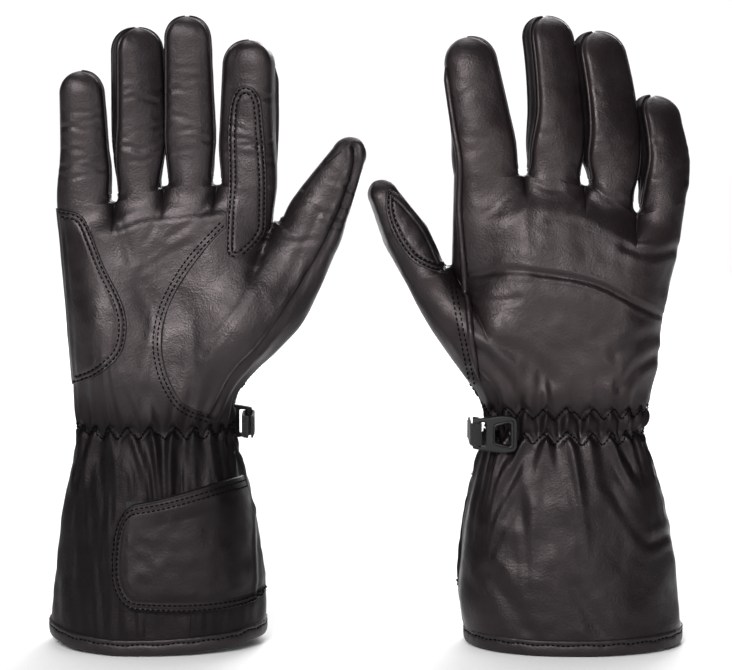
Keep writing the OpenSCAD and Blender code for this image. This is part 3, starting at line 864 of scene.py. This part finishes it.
def mixed(tree, share, value, other):
    node = tree.nodes.new("ShaderNodeMix")
    node.data_type = "RGBA"
    tree.links.new(share, node.inputs["Factor"])
    tree.links.new(value, node.inputs[MIX_A])
    node.inputs[MIX_B].default_value = (*other, 1)
    return node.outputs[MIX_RESULT]


def feed(tree, shader, sockets, layers):
    """Links or sets the shader's sockets, and stacks bump layers: height, strength, metres."""
    for name, value in sockets.items():
        if isinstance(value, bpy.types.NodeSocket):
            tree.links.new(value, shader.inputs[name])
        else:
            shader.inputs[name].default_value = value
    last = None
    for height, strength, depth in layers:
        bump = tree.nodes.new("ShaderNodeBump")
        bump.inputs["Strength"].default_value = strength
        bump.inputs["Distance"].default_value = depth
        tree.links.new(height, bump.inputs["Height"])
        if last is not None:
            tree.links.new(last, bump.inputs["Normal"])
        last = bump.outputs["Normal"]
    tree.links.new(last, shader.inputs["Normal"])


def leather(name, dark, light, rough=(0.34, 0.5), grain=1.0, shine=0.36, banded_and_highlit=False):
    material, tree, shader, coords = new_material(name)
    cells = noise_at(tree, coords, 1000, 2, "ShaderNodeTexVoronoi", "Distance", feature="SMOOTH_F1")
    pores, wrinkle, streak, cloud, rub = (
        noise_at(tree, coords, *size) for size in ((2600, 3), (300, 6), (95, 7), (38, 5), (60, 8)))
    colour = ramp(tree, cloud, (0.3, dark), (0.72, light))
    sheen = ramp(tree, rub, (0.32, grey(rough[0])), (0.66, grey(rough[1])))
    glint = ramp(tree, cloud, (0.2, grey(shine * 0.9)), (0.8, grey(shine * 1.1)))
    layers = [
        (streak, 0.22, 0.0011 * grain),
        (wrinkle, 0.22, 0.0006 * grain),
        (cells, 0.4, 0.00022 * grain),
        (pores, 0.25, 0.0001 * grain),
    ]
    # Painted highlight: where the flap's attribute is set, the colour is lightened and the roughness lowered,
    # streaked by noise; the other attribute embosses woven bands.
    if banded_and_highlit:
        worn = painted(tree, "worn", streak)
        colour = mixed(tree, worn, colour, (0.03, 0.028, 0.03))
        sheen = mixed(tree, worn, sheen, grey(0.3))
        layers.append((painted(tree, "weave", bands_at(tree, coords, 560)), 0.35, 0.0004))
    # Painted shade: the attribute set on the hand panels darkens the colour, raises the roughness and lowers
    # the specular level toward the wrist.
    dim = painted(tree, "dim")
    feed(tree, shader, {
        "Base Color": mixed(tree, dim, colour, tuple(0.4 * c for c in dark)),
        "Roughness": mixed(tree, dim, sheen, grey(0.72)),
        "Specular IOR Level": mixed(tree, dim, glint, grey(0.05)),
        "Specular Tint": (1.0, 0.87, 0.89, 1),
    }, layers)
    return material


def woven(name, dark, light, scale, depth, rough=0.85):
    material, tree, shader, coords = new_material(name)
    weave, fuzz = bands_at(tree, coords, scale, 0.6), noise_at(tree, coords, 900, 5)
    feed(tree, shader, {
        "Base Color": ramp(tree, weave, (0.2, dark), (0.8, light)),
        "Roughness": ramp(tree, fuzz, (0.2, grey(rough - 0.1)), (0.8, grey(rough + 0.1))),
        "Sheen Weight": 0.08,
    }, [(weave, 0.6, depth), (fuzz, 0.4, depth)])
    return material


def thread(name, colour):
    material, tree, shader, coords = new_material(name)
    twist = noise_at(tree, coords, 3000, 2)
    feed(tree, shader, {
        "Base Color": ramp(tree, twist, (0.3, colour), (0.7, tuple(2 * c for c in colour))),
        "Roughness": 0.8,
        "Specular IOR Level": 0.05,
    }, [(twist, 0.5, 0.00012)])
    return material


def plastic(name):
    material, tree, shader, coords = new_material(name)
    spark, haze = noise_at(tree, coords, 1800, 3), noise_at(tree, coords, 120, 4)
    feed(tree, shader, {
        "Base Color": ramp(tree, haze, (0.3, grey(0.003)), (0.7, grey(0.006))),
        "Roughness": ramp(tree, haze, (0.3, grey(0.38)), (0.7, grey(0.5))),
        "Specular IOR Level": 0.25,
    }, [(spark, 0.3, 0.00012)])
    return material


MATERIALS = {
    "palm": leather("palm_leather", (0.0036, 0.0028, 0.003), (0.0085, 0.0064, 0.007)),
    "back": leather("back_leather", (0.004, 0.0027, 0.003), (0.0092, 0.006, 0.0066)),
    # The shade and cuff materials are darker, duller copies of the back and palm leather: painted shade on
    # the cuff's back and front.
    "shade": leather("cuff_back_leather", (0.0028, 0.002, 0.0022), (0.0066, 0.0045, 0.0049), shine=0.27),
    "cuff": leather("cuff_leather", (0.0018, 0.0015, 0.0016), (0.0038, 0.0031, 0.0033),
                    (0.42, 0.56), 1.2, 0.15),
    "patch": leather("patch_leather", (0.0034, 0.0026, 0.0028), (0.0075, 0.0057, 0.0062)),
    "flap": leather("flap_leather", (0.0022, 0.0018, 0.0019), (0.0042, 0.0034, 0.0036),
                    (0.38, 0.52), 0.8, 0.2, True),
    "side": leather("side_leather", (0.003, 0.0024, 0.0026), (0.006, 0.0046, 0.005), (0.4, 0.55), 1.0, 0.25),
    "binding": leather("binding_leather", (0.004, 0.0033, 0.0035), (0.0075, 0.0062, 0.0066), (0.4, 0.55)),
    "thread": thread("black_thread", (0.0008, 0.0008, 0.0008)),
    "hooks": woven("hook_tape", (0.006, 0.006, 0.0065), (0.016, 0.016, 0.017), 900, 0.0004),
    "webbing": woven("black_webbing", (0.002, 0.002, 0.0022), (0.006, 0.006, 0.0064), 420, 0.0003),
    "elastic": woven("elastic_tape", (0.008, 0.008, 0.008), (0.02, 0.02, 0.02), 500, 0.0003),
    "lining": woven("lining_knit", (0.012, 0.011, 0.012), (0.03, 0.028, 0.03), 320, 0.0004, 0.8),
    "plastic": plastic("clip_plastic"),
}

# ---------------------------------------------------------------- build a glove


def blend_to_finger(ob):
    """Bakes the placement of a piece on a finger or the thumb into its mesh."""
    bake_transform(ob)


# Painted shade on the hand's leather, darker toward the wrist: height, reach, amount
PAINTED_WRIST_SHADE = {"palm": (118, 30, 0.7), "back": (126, 20, 0.5)}


def skin_pieces(skin):
    """Splits the welded skin into its leather pieces."""
    owner = np.array([str(label).split("_")[0] for label in skin.labels])
    moved = skin.p.copy()
    for name, f in skin.digits.items():
        used = np.unique(skin.f[owner == name])
        moved[used] = f.warp(skin.p[used])
    normals = skin.normals(moved)
    # The cuff pieces get the darker copies of the leather, as painted shade.
    jobs = [("palm", "palm_panel", "palm"), ("back", "back_panel", "back"), ("thumb", "thumb_shell", "palm"),
            ("cuff_front", "cuff_front", "cuff"), ("cuff_back", "cuff_back", "shade")]
    for name in skin.fingers:
        jobs += [(f"{name}_{part}",) * 2 + (material,) for part, material in
                 (("front", "palm"), ("back", "back"), ("fourchettes", "side"))]
    for label, node, material in jobs:
        faces = skin.f[skin.labels == label]
        used, back = np.unique(faces, return_inverse=True)
        faces = [f for f in back.reshape(faces.shape).tolist() if len(set(f)) > 2]
        body = label.split("_")[0]
        ob = add_piece(skin, f"{node}_leather", [(moved[used], faces, material)], node,
                       digit=body if body in skin.digits else None, normals=normals[used])
        # Painted shade: the palm and back panels get an attribute that darkens their leather toward the
        # wrist.
        if body in PAINTED_WRIST_SHADE:
            low, reach, amount = PAINTED_WRIST_SHADE[body]
            paint(ob, "dim", amount * (1 - smoothstep((moved[used][:, 2] - low) / reach)))


# ---------------------------------------------------------------- sewn-on leather


def inset(line, inside, distances):
    """Copies of a plane line moved toward the point inside."""
    line = resample(smooth_line(line, 16), pitch=1.0)
    near, far = (np.linalg.norm(x - inside, axis=1).mean() for x in (offset_line(line, 1.0), line))
    return [offset_line(line, d if near < far else -d) for d in distances]


def sewn_patch(skin, node, left, right, side, edge, finger=None, lip=False, height=PATCH_H, calm=None):
    """A patch with two stitch rows along its sewn edge, as one piece on the hand or a finger."""
    left, right = smooth_line(left, 16), smooth_line(right, 16)
    p, faces = patch(skin.surface, left, right, side, height, lip, calm)
    lines = inset(edge, (left.mean(0) + right.mean(0)) / 2, LIP_ROWS if lip else ROWS)
    if lip:
        base = Surface(np.vstack([p, skin.p]), np.vstack([faces, skin.f + len(p)]))
    else:
        base = Surface(p, faces)
    sp, sf = stitches_on(base, lines, side)
    if finger:
        p, sp = skin.digits[finger].warp(p), skin.digits[finger].warp(sp)
    add_piece(skin, f"{node}_leather", [(p, faces, "patch"), (sp, sf, "thread")], node,
              digit=finger)


def heel_patch(skin):
    """Patch on the outer heel of the palm, from the side seam to a curved, double-stitched edge."""
    z = np.linspace(142, 235, 30)
    left = np.stack([skin.edges(z)[0] + 0.7, z], 1)
    edge = [(1.5, 141.5), (16.2, 148), (29.5, 159), (34.1, 173), (32.5, 187), (24.5, 206), (18.6, 224),
            (13.5, 232.5), (1.5, 235.5)]
    edge = [(x + skin.edges(h)[0], h) for x, h in edge]
    sewn_patch(skin, "heel_patch", left, edge, -1, edge)


def thenar_patch(skin):
    """The thumb's front: one leather from the ball of the thumb to its tip, under a sewn lip."""
    f = skin.digits["thumb"]
    if skin.key == "a":
        edge = [(30, 126.3), (15.5, 133.3), (6.4, 149), (3.7, 168), (8.5, 186.6), (20.8, 206.8), (38.4, 226)]
    else:
        edge = [(32, 126.3), (17, 132), (7, 146), (3, 163), (6, 180), (17, 197), (36, 208)]
    k = f.length / THUMB_FULL
    tail = on_finger(f, [(-12.3 * k, 10), (-12 * k, 24), (-9.5 * k, 38), (-5 * k, 50)], k)
    crotch = [tuple(f.left + (-8, 1)), tuple(f.left + (1.5, -2.0))]
    right = offset_line(smooth_line(thumb_seam(skin), 8), 0.7)[::4]
    sewn_patch(skin, "thenar_patch", edge + crotch + tail, right, -1, edge, "thumb", True, 0.75, f.left)


def index_patch(skin):
    """Reinforcing strip on the index finger, with an arched top and a tongue on the palm."""
    f = skin.digits["index"]
    left = on_finger(f, [(-5.6, -38), (-9.4, -36), (-10.6, -30), (-10.3, -8.5), (-9.8, 20), (-9.1, 38),
                         (-7.8, 46.5), (-4.6, 52.0), (0, 53.8)])
    right = on_finger(f, [(-5.6, -38), (-0.7, -36.4), (4.7, -31.5), (9.3, -25), (10.6, -17.5), (10.1, 20),
                          (9.1, 38), (7.8, 46.5), (4.6, 52.0), (0, 53.8)])
    sewn_patch(skin, "index_patch", left, right, -1, left + right[::-1][1:-1], "index")


def thumb_patch(skin):
    """D-shaped patch on the inner side of the thumb's back."""
    f = skin.digits["thumb"]
    k = f.length / 55.5
    left = on_finger(f, [(-10.5, -4), (-11, 10), (-10.4, 25), (-7.4, 41), (-3.4, 49)], k)
    right = on_finger(f, [(-10.5, -4), (-3, 2.5), (4, 11.3), (6.8, 21), (6.6, 31), (4, 41), (-0.6, 48),
                          (-3.4, 49)], k)
    sewn_patch(skin, "thumb_patch", left, right, 1, right, "thumb")


CORD_RADIUS, CORD_LIFT = 1.9, 0.55


def side_piping(skin):
    """Corded seam down the index finger's outer side and over the back of the hand."""
    f = skin.digits["index"]
    half = f.mid_width / 2
    path = on_finger(f, [(half - 3.2, 0.82), (half - 2.6, 0.6), (half - 2.2, 0.35), (half - 2.2, 0.12)],
                     f.length)
    path += [(60.5, 236), (59.5, 222), (58, 205), (56.5, 187), (54, 165), (51, 150), (48.5, 142)]
    line = resample(smooth_line(path, 12), pitch=1.2)
    hit, normal = skin.surface.drop(line, 1)
    share = np.linspace(0, 1, len(line))
    radius = CORD_RADIUS * smoothstep(share / 0.06 + 0.25) * smoothstep((1 - share) / 0.12 + 0.1)
    p, faces = tube_mesh(smooth_path(hit) + normal * CORD_LIFT, radius, 12)
    add_piece(skin, "side_piping_cord", [(f.warp(p), faces, "back")], "side_piping",
              digit="index")


def smooth_path(p, passes=6):
    out = p.copy()
    for _ in range(passes):
        out[1:-1] = (out[:-2] + 2 * out[1:-1] + out[2:]) / 4
    return out


def round_section(theta):
    """Outline of the cuff's section at angles theta, for a half width and a half depth of one."""
    return [np.sign(v) * np.abs(v) ** (2 / BODY_POWER) for v in (np.cos(theta), np.sin(theta))]


def ring_points(skin, theta, z, grow=0.0):
    """Points on the cuff's smooth section at angles theta and heights z."""
    left, right = skin.edges(z)
    x, y = round_section(theta)
    return np.stack([(left + right) / 2 + x * ((right - left) / 2 + grow), y * (cuff_depth(z) + grow), z], -1)


def wrist_stitches(skin):
    """Zigzag rows that hold the elastic: one on the palm side, two on the back."""
    rows = []
    for side, z0 in ZIGZAGS:
        theta = np.radians(np.linspace(0, ROW_ARC, 121) + FIRST_TOOTH[side])
        guess = ring_points(skin, theta, z0 + zigzag(theta, side)[0], 1.0)
        hits, normals = skin.surface.nearest(guess, WRIST_CENTRE[skin.key])
        rows.append(stitch_row(hits, normals, 0.2, 2.1, length=1.6, radius=0.45))
    add_piece(skin, "wrist_zigzag_thread", [(*joined(rows), "thread")])


def seam_stitches(skin):
    """Two rows along the seam between the thumb and the back of the hand."""
    seam = [(59, 198), (56, 180), (52, 160), (48.5, 144), (47, 133)]
    lines = [resample(smooth_line([(x + dx, z) for x, z in seam], 12), pitch=STITCH_PITCH)
             for dx in (4.2, 6.6)]
    add_piece(skin, "thumb_seam_thread", [(*stitches_on(skin.surface, lines, 1), "thread")])


# ---------------------------------------------------------------- cuff fittings

# Section of the binding, from inside the cuff to outside: distance out from the cuff, height
HEM_PROFILE = ((-3.2, 8.4), (-3.4, 5), (-3.2, 1.6), (-2.2, 0.3), (-0.8, 0.0), (0.35, 0.35), (0.85, 1.4),
               (1.05, 3.0), (1.0, 4.6), (0.8, 5.6), (0.45, 6.2), (0.75, 6.8), (0.95, 7.6), (0.8, 8.5),
               (0.2, 9.0), (-0.6, 8.8))
HEM_GROOVE = 10             # the point of the section that the stitches lie on


def hem_binding(skin):
    """Leather binding folded round the cuff's edge, with one row of stitches."""
    n = 220
    theta = circle(n)
    rows = []
    for grow, z in HEM_PROFILE:
        pucker = 0.22 * np.sin(61 * theta + 1.3) * np.sin(17 * theta) * smoothstep((z - 2) / 4)
        ring = ring_points(skin, theta, np.full(n, 4.0))
        ring[:, :2] += unit(ring[:, :2]) * (grow + pucker)[:, None]
        ring[:, 2] = z + 0.3 * np.sin(23 * theta + 2) * smoothstep(z / 6) * smoothstep((8.9 - z) / 3)
        ring[:, 2] += hem_raise(skin.key, ring)
        rows.append(ring)
    grid = np.stack(rows)
    step = resample(np.vstack([grid[HEM_GROOVE], grid[HEM_GROOVE][:1]]), pitch=STITCH_PITCH)
    out = unit(step * np.array([1, 1, 0]))
    parts = [(grid.reshape(-1, 3), grid_faces(len(rows), n, ring=True), "binding"),
             (*stitch_mesh(step + out * 0.1, out), "thread")]
    add_piece(skin, "hem_binding_leather", parts, "hem_binding")


def layer_grid(skin, theta, z):
    """Grid of points on the cuff's smooth section, and the directions out of it."""
    grid = ring_points(skin, theta, z)
    normal = unit(np.cross(np.gradient(grid, axis=1), np.gradient(grid, axis=0)))
    out = normal[..., 0] * grid[..., 0] + normal[..., 1] * grid[..., 1]
    return grid, np.where(out[..., None] < 0, -normal, normal)


FLAP_LENGTH = 92.0
FLAP_FREE_X = -23.0         # where the flap's free end lies
FLAP_Z = 55.0               # height at which its length is measured round the cuff
FLAP_ANGLES = (190, 351)    # range of angles it is measured over, up to its sewn end
FLAP_ROWS = (1.9, 4.4)      # its stitch rows, from the edge
FLAP_CORNER = 15.0          # reach of its rounded corners
CORNER_POWER = 2.4
FLAP_RIDGE = (51, 53.4)     # x of the ridge and of the dip across it


def flap_shape(u, v):
    """Arc position and height of the flap: u from its free end to its sewn end, v upward."""
    s = FLAP_LENGTH * u
    round_end = np.clip(1 - s / FLAP_CORNER, 0, 1)
    full = (1 - round_end ** CORNER_POWER) ** (1 / CORNER_POWER)
    low = 26.5 - 3.2 * np.sin(np.pi * np.clip(u, 0, 1)) + 2.0 * u
    high = 80.5 + 12.0 * smoothstep(u * 1.15)
    mid = 53.0 + 4 * u
    return s, mid + full * np.where(v < 0.5, (low - mid) * (1 - 2 * v), (high - mid) * (2 * v - 1))


def closure_flap(skin):
    """Broad flap over the cuff's palm side, double stitched, with two embossed bands."""
    key = skin.key
    u = np.r_[np.linspace(0, 0.16, 22), np.linspace(0.16, 1, 66)[1:]]
    uu, vv = np.meshgrid(u, edge_spacing(60.0, 44))
    s, z = flap_shape(uu, vv)
    table_t = np.linspace(*np.radians(FLAP_ANGLES), 400)
    table = ring_points(skin, table_t, np.full(400, FLAP_Z), 5)
    arc = np.r_[0, np.cumsum(np.linalg.norm(np.diff(table[:, :2], axis=0), axis=1))]
    start = np.interp(FLAP_FREE_X, table[:, 0], arc)
    scale = (arc[-1] - start) / FLAP_LENGTH
    base, normal = layer_grid(skin, np.interp(start + s * scale, arc, table_t), z)
    x = base[..., 0]
    low, high = (np.stack(flap_shape(u, np.full_like(u, v)), 1) * (scale, 1) for v in (0, 1))
    border = np.vstack([low[::-1], high])
    d = line_distance(np.stack([s * scale, z], -1).reshape(-1, 2), border).reshape(s.shape)
    inner = smoothstep((d - 6) / 4)
    lift = 3.2 + 2.1 * round_off(d, 1.2)
    for at in FLAP_ROWS:
        lift -= 0.45 * bell(d - at, 0.55)
    lift += 0.25 * bell(d - sum(FLAP_ROWS) / 2, 0.7) + 0.5 * inner
    wave = [noise.noise(Vector(a) / 16) + 0.5 * noise.noise(Vector(a) / 6) for a in base.reshape(-1, 3)]
    lift += 0.55 * np.reshape(wave, s.shape) * inner
    lift += 0.7 * bell(x - FLAP_RIDGE[0], 0.9) - 0.7 * bell(x - FLAP_RIDGE[1], 1.2)
    sewn = smoothstep((uu - 0.62) / 0.38)
    points, faces = two_layers(base + normal * (lift - 4.6 * sewn)[..., None],
                               base + normal * (3.0 - 3.4 * sewn)[..., None])
    index = np.arange(s.size).reshape(s.shape)
    rim = np.r_[index[0], index[1:, -1], index[-1, ::-1][1:], index[::-1, 0][1:-1]]
    faces += [[a, b, b + s.size, a + s.size] for a, b in zip(rim, np.roll(rim, -1))]
    surface = Surface(points[:s.size], grid_faces(*s.shape))
    rows = []
    for at in FLAP_ROWS:
        line = offset_line(resample(border, pitch=0.8), -at)
        theta = np.interp(start + line[:, 0], arc, table_t)
        rows.append(stitch_row(*surface.nearest(ring_points(skin, theta, line[:, 1], 6)), 0.12))
    ob = add_piece(skin, "closure_flap_leather", [(points, faces, "flap"), (*joined(rows), "thread")],
                   "closure_flap", body=None)
    start, end = place(key, [[60, 0, 60], [44, 0, 60]])
    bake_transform(ob)
    band = smoothstep((d - 6.0) / 1.2) * (1 - smoothstep((d - 12) / 2.5))
    top_band = band * (z > 60) * smoothstep((x + 14) / 4) * (1 - smoothstep((x - 28) / 8))
    low_band = band * (z < 45) * (1 - smoothstep((x - 8) / 8)) * 0.7
    # Painted highlight: a lighter, glossier band near the flap's ridge, in soft stripes.
    worn = bell(x - 46, 5) * (0.4 + 0.6 * np.sin(z / 5) ** 2) * inner
    for name, values in (("weave", top_band + low_band), ("worn", worn)):
        paint(ob, name, np.r_[values.reshape(-1), np.zeros(len(ob.data.vertices) - s.size)])


def paint(ob, name, values):
    layer = ob.data.attributes.new(name, "FLOAT", "POINT")
    layer.data.foreach_set("value", np.asarray(values, np.float32))


PAD_ROWS, PAD_COLUMNS = 34, 60
PAD_ANGLES, PAD_HEIGHTS = (256, 318), (36, 82)


def tape_pad(skin, node, body, grow):
    """A thin pad of hook or loop tape, with a selvedge, on the cuff's section."""
    row, col = np.arange(PAD_ROWS)[:, None], np.arange(PAD_COLUMNS)[None, :]
    theta, z = np.meshgrid(np.radians(np.linspace(*PAD_ANGLES, PAD_COLUMNS)),
                           np.linspace(*PAD_HEIGHTS, PAD_ROWS))
    base, normal = layer_grid(skin, theta, z)
    edge = np.minimum(np.minimum(row, row[::-1]), np.minimum(col, col[:, ::-1]))
    lift = grow + np.clip(edge / 2.0, 0, 1) ** 0.5
    lift = lift + 0.1 * np.where(edge > 2, np.sin(col * 2.1) * np.sin(row * 2.3), 0)
    points, faces = two_layers(base + normal * lift[..., None], base + normal * (grow - 0.05))
    add_piece(skin, f"{node}_tape", [(points, faces, "hooks")], node, body)


LINING_GAP = (5.2, 4.6)     # between lining and leather, at the sides and at palm and back
LINING_TOP = 205
ELASTIC_PROFILE = ((-3.0, 108), (-3.4, 112), (-3.2, 118), (-3.4, 124), (-3.0, 128))


def lining(skin):
    """Knitted lining bag, open at the cuff."""
    n = 96
    theta = circle(n)
    c, s = round_section(theta)
    rows = []
    for z in np.r_[np.linspace(4, WRIST_Z, 40), np.linspace(121, LINING_TOP, 34)]:
        left, right = skin.edges(z)
        right = min(right, 58)
        depth = cuff_depth(z) if z < 130 else np.interp(z, [130, 160, LINING_TOP], [25, 24, 17])
        fold = 0.5 * np.sin(9 * theta + z / 30) + 0.5 * np.sin(14 * theta - z / 21)
        close = 1 - 0.96 * smoothstep((z - 188) / 17)
        half_w = ((right - left) / 2 - LINING_GAP[0]) * (0.3 + 0.7 * close)
        half_d = (depth - LINING_GAP[1]) * close
        x = (left + right) / 2 + c * (half_w + 0.5 * fold)
        rows.append(np.stack([x, s * (half_d + 0.5 * fold * close), np.full(n, z)], 1))
    grid = np.stack(rows)
    grid[:6, :, 2] += hem_raise(skin.key, grid[:6].reshape(-1, 3)).reshape(6, n)
    faces = grid_faces(len(rows), n, ring=True, flip=True).tolist()
    faces.append(list(range((len(rows) - 1) * n, len(rows) * n)))
    add_piece(skin, "lining_knit", [(grid.reshape(-1, 3), faces, "lining")], "lining")


def wrist_elastic(skin):
    """Elastic tape inside the wrist, drawn in by its stitches."""
    n = 160
    theta = circle(n)
    rows = []
    for grow, z in ELASTIC_PROFILE:
        ring = ring_points(skin, theta, np.full(n, WRIST_Z), grow + 0.25 * np.sin(27 * theta))
        ring[:, 2] = z + 0.4 * np.sin(54 * theta)
        rows.append(ring)
    parts = [(np.vstack(rows), grid_faces(len(rows), n, ring=True), "elastic")]
    add_piece(skin, "wrist_elastic_band", parts, "wrist_elastic")


# ---------------------------------------------------------------- clip


CORNER_STEPS = 6


def rounded(points, radius):
    """A closed outline with its corners rounded."""
    out = []
    p = np.array(points, float)
    for a, b, c, r in zip(np.roll(p, 1, 0), p, np.roll(p, -1, 0), np.broadcast_to(radius, len(p))):
        u, v = unit(a - b), unit(c - b)
        out += [tuple(b + u * r * (1 - t) ** 2 + v * r * t**2) for t in np.linspace(0, 1, CORNER_STEPS)]
    return out


def plate(outer, holes, thickness, bevel):
    """A flat plate with holes and rounded edges, as points and faces in its own plane."""
    curve = bpy.data.curves.new("plate", "CURVE")
    curve.dimensions, curve.fill_mode = "2D", "BOTH"
    curve.extrude, curve.bevel_depth, curve.bevel_resolution = thickness / 2 - bevel, bevel, 3
    curve.offset = -bevel
    for line in [outer] + holes:
        spline = curve.splines.new("POLY")
        spline.points.add(len(line) - 1)
        for p, (x, y) in zip(spline.points, line):
            p.co = (x, y, 0, 1)
        spline.use_cyclic_u = True
    ob = new_object("plate", curve)
    mesh = bpy.data.meshes.new_from_object(ob.evaluated_get(bpy.context.evaluated_depsgraph_get()))
    points = np.array([v.co[:] for v in mesh.vertices])
    faces = [list(f.vertices) for f in mesh.polygons]
    bpy.data.objects.remove(ob)
    bpy.data.curves.remove(curve)
    bpy.data.meshes.remove(mesh)
    return points, faces


CLIP = {"a": (48.0, 24.0, 117.0), "b": (52.0, 24.0, 117.0)}


def clip(skin):
    """Moulded clip with a tapered eye, hung on a webbing loop at the thumb side of the wrist."""
    outer = rounded([(1.8, -7.6), (1.8, 7.6), (-3.5, 8.6), (-14, 10.2), (-22, 9.2), (-22, -9.2), (-14, -10.2),
                     (-3.5, -8.6)], [1.6, 1.6, 2, 3, 3.6, 3.6, 3, 2])
    eye = rounded([(-18.4, -6.4), (-18.4, 6.4), (-10.2, 4.2), (-10.2, -4.2)], 1.6)
    slot = rounded([(-5.2, -6.4), (-5.2, 6.4), (-1.7, 6.4), (-1.7, -6.4)], 0.7)
    rim = rounded([(-20.2, -8.0), (-20.2, 8.0), (-9.0, 5.8), (-9.0, -5.8)], 2.4)
    bar = np.stack([np.zeros(16), np.linspace(-7.6, 7.6, 16), np.zeros(16)], 1)
    meshes = [plate(outer, [eye, slot], 3.4, 0.8), plate(rim, [eye], 5.0, 0.7), tube_mesh(bar, 1.6, 16)]
    parts = [(p[:, [0, 2, 1]] + CLIP[skin.key], faces, "plastic") for p, faces in meshes]
    add_piece(skin, "clip_body_moulded", parts, "clip_body", "clip")


WEBBING_WIDTH, WEBBING_THICKNESS = 12.0, 1.1
RIB = 0.05           # rise of every second thread of the webbing


def ribbon(path, width, thickness):
    """A woven strap of rounded section swept along a level path, as points and faces."""
    d = unit(np.gradient(path, axis=0))
    out = np.stack([d[:, 1], -d[:, 0]], 1)
    flat = np.linspace(-width / 2 + 0.4, width / 2 - 0.4, 11)
    side = thickness / 2
    section = [(side + RIB * (k % 2), h) for k, h in enumerate(flat)] + [(0.0, width / 2)]
    section += [(-side - RIB * (k % 2), h) for k, h in enumerate(flat[::-1])] + [(0.0, -width / 2)]
    grid = np.stack([np.c_[path + out * n, np.full(len(path), h)] for n, h in section], 1)
    return grid.reshape(-1, 3), tube_faces(len(path), len(section))


def clip_loop(skin):
    """Webbing sewn to the thumb side of the wrist and folded round the clip's bar."""
    x0, y0, z0 = CLIP[skin.key]
    turn = np.radians(np.linspace(0, 180, 15))
    path = [(2.7, 1), (2.7, 8), (2.8, 16)] + [(2.65 * math.cos(a), y0 + 2.65 * math.sin(a)) for a in turn]
    path += [(-2.8, 16), (-2.7, 8), (-2.4, 3), (0.4, 0.6)]
    path = smooth_path(resample(np.array(path, float), pitch=0.6), 2)
    p, faces = ribbon(path + np.array([x0, 0]), WEBBING_WIDTH, WEBBING_THICKNESS)
    p[:, 2] += z0
    bars = [np.array([[x0 + 3.5, y, z0 + h] for h in np.linspace(-4.8, 4.8, 8)]) for y in (4.0, 6.0)]
    out = np.tile([1.0, 0, 0], (8, 1))
    parts = [(p, faces, "webbing")]
    parts += [(*stitch_mesh(bar, out, length=1.1, radius=0.25), "thread") for bar in bars]
    add_piece(skin, "clip_loop_webbing", parts, "clip_loop")


for key in GLOVES:
    skin = Skin(key)
    skin.surface = Surface(skin.p, skin.f)
    for make in (skin_pieces, heel_patch, thenar_patch, index_patch, thumb_patch, side_piping, wrist_stitches,
                 seam_stitches, hem_binding, closure_flap):
        make(skin)
    tape_pad(skin, "loop_pad", "hand", 0.35)
    tape_pad(skin, "hook_pad", "flap", 1.75)
    for make in (lining, wrist_elastic, clip, clip_loop):
        make(skin)

# ---------------------------------------------------------------- floor, light, camera


def sweep():
    """A pale floor that curves up into a backdrop."""
    half, reach, radius, high = 5.0, 2.2, 0.9, 3.2
    line = [(-4.0, 0.0)] + [(reach + radius * math.sin(a), radius * (1 - math.cos(a)))
                            for a in np.linspace(0, math.pi / 2, 13)] + [(reach + radius, high)]
    points = [(x, y, z) for y, z in line for x in (-half, half)]
    faces = [(2 * i, 2 * i + 1, 2 * i + 3, 2 * i + 2) for i in range(len(line) - 1)]
    mesh = bpy.data.meshes.new("floor")
    mesh.from_pydata(points, [], faces)
    mesh.polygons.foreach_set("use_smooth", [True] * len(faces))
    floor = new_object("floor", mesh)
    material, _, shader, _ = new_material("pale_floor")
    shader.inputs["Base Color"].default_value = (0.9, 0.9, 0.9, 1)
    shader.inputs["Roughness"].default_value = 0.9
    mesh.materials.append(material)


WORLD_LIGHT = 0.05
# Area lights: name, place, target, size in metres, watts
LIGHTS = (
    ("key", (-0.35, -1.3, 0.75), (0, 0, 0.23), 0.5, 25),
    ("fill", (0.45, -1.6, 0.35), (0, 0, 0.22), 0.4, 5),
    ("top", (0.1, 0.3, 1.3), (0, 0, 0.2), 0.8, 6),
    ("rear", (0.5, 1.6, 1.1), (0, 0, 0.18), 0.9, 22),
    ("backdrop", (0.0, 1.2, 2.2), (0, 3.1, 0.5), 2.4, 64),
)


def aimed(name, data, place_at, target):
    """An object at place_at whose -Z axis points at target."""
    ob = new_object(name, data)
    ob.location = place_at
    ob.rotation_euler = (Vector(target) - Vector(place_at)).to_track_quat("-Z", "Y").to_euler()
    return ob


def lights():
    world = bpy.data.worlds.new("studio")
    bpy.context.scene.world = world
    world.use_nodes = True
    background = world.node_tree.nodes["Background"]
    background.inputs["Color"].default_value = (1, 1, 1, 1)
    background.inputs["Strength"].default_value = WORLD_LIGHT
    for name, place_at, target, size, power in LIGHTS:
        light = bpy.data.lights.new(name, "AREA")
        light.energy, light.size = power, size
        aimed(name, light, place_at, target)


def camera():
    view_w, distance, elevation = 0.392, 1.35, math.radians(6.5)
    data = bpy.data.cameras.new("camera")
    data.sensor_width = 36
    data.lens = data.sensor_width * distance / view_w
    target = Vector((0.001, 0, 0.167))
    place_at = target + Vector((0, -distance * math.cos(elevation), distance * math.sin(elevation)))
    bpy.context.scene.camera = aimed("camera", data, place_at, target)


sweep()
lights()
camera()
bpy.context.scene.view_settings.view_transform = "Standard"
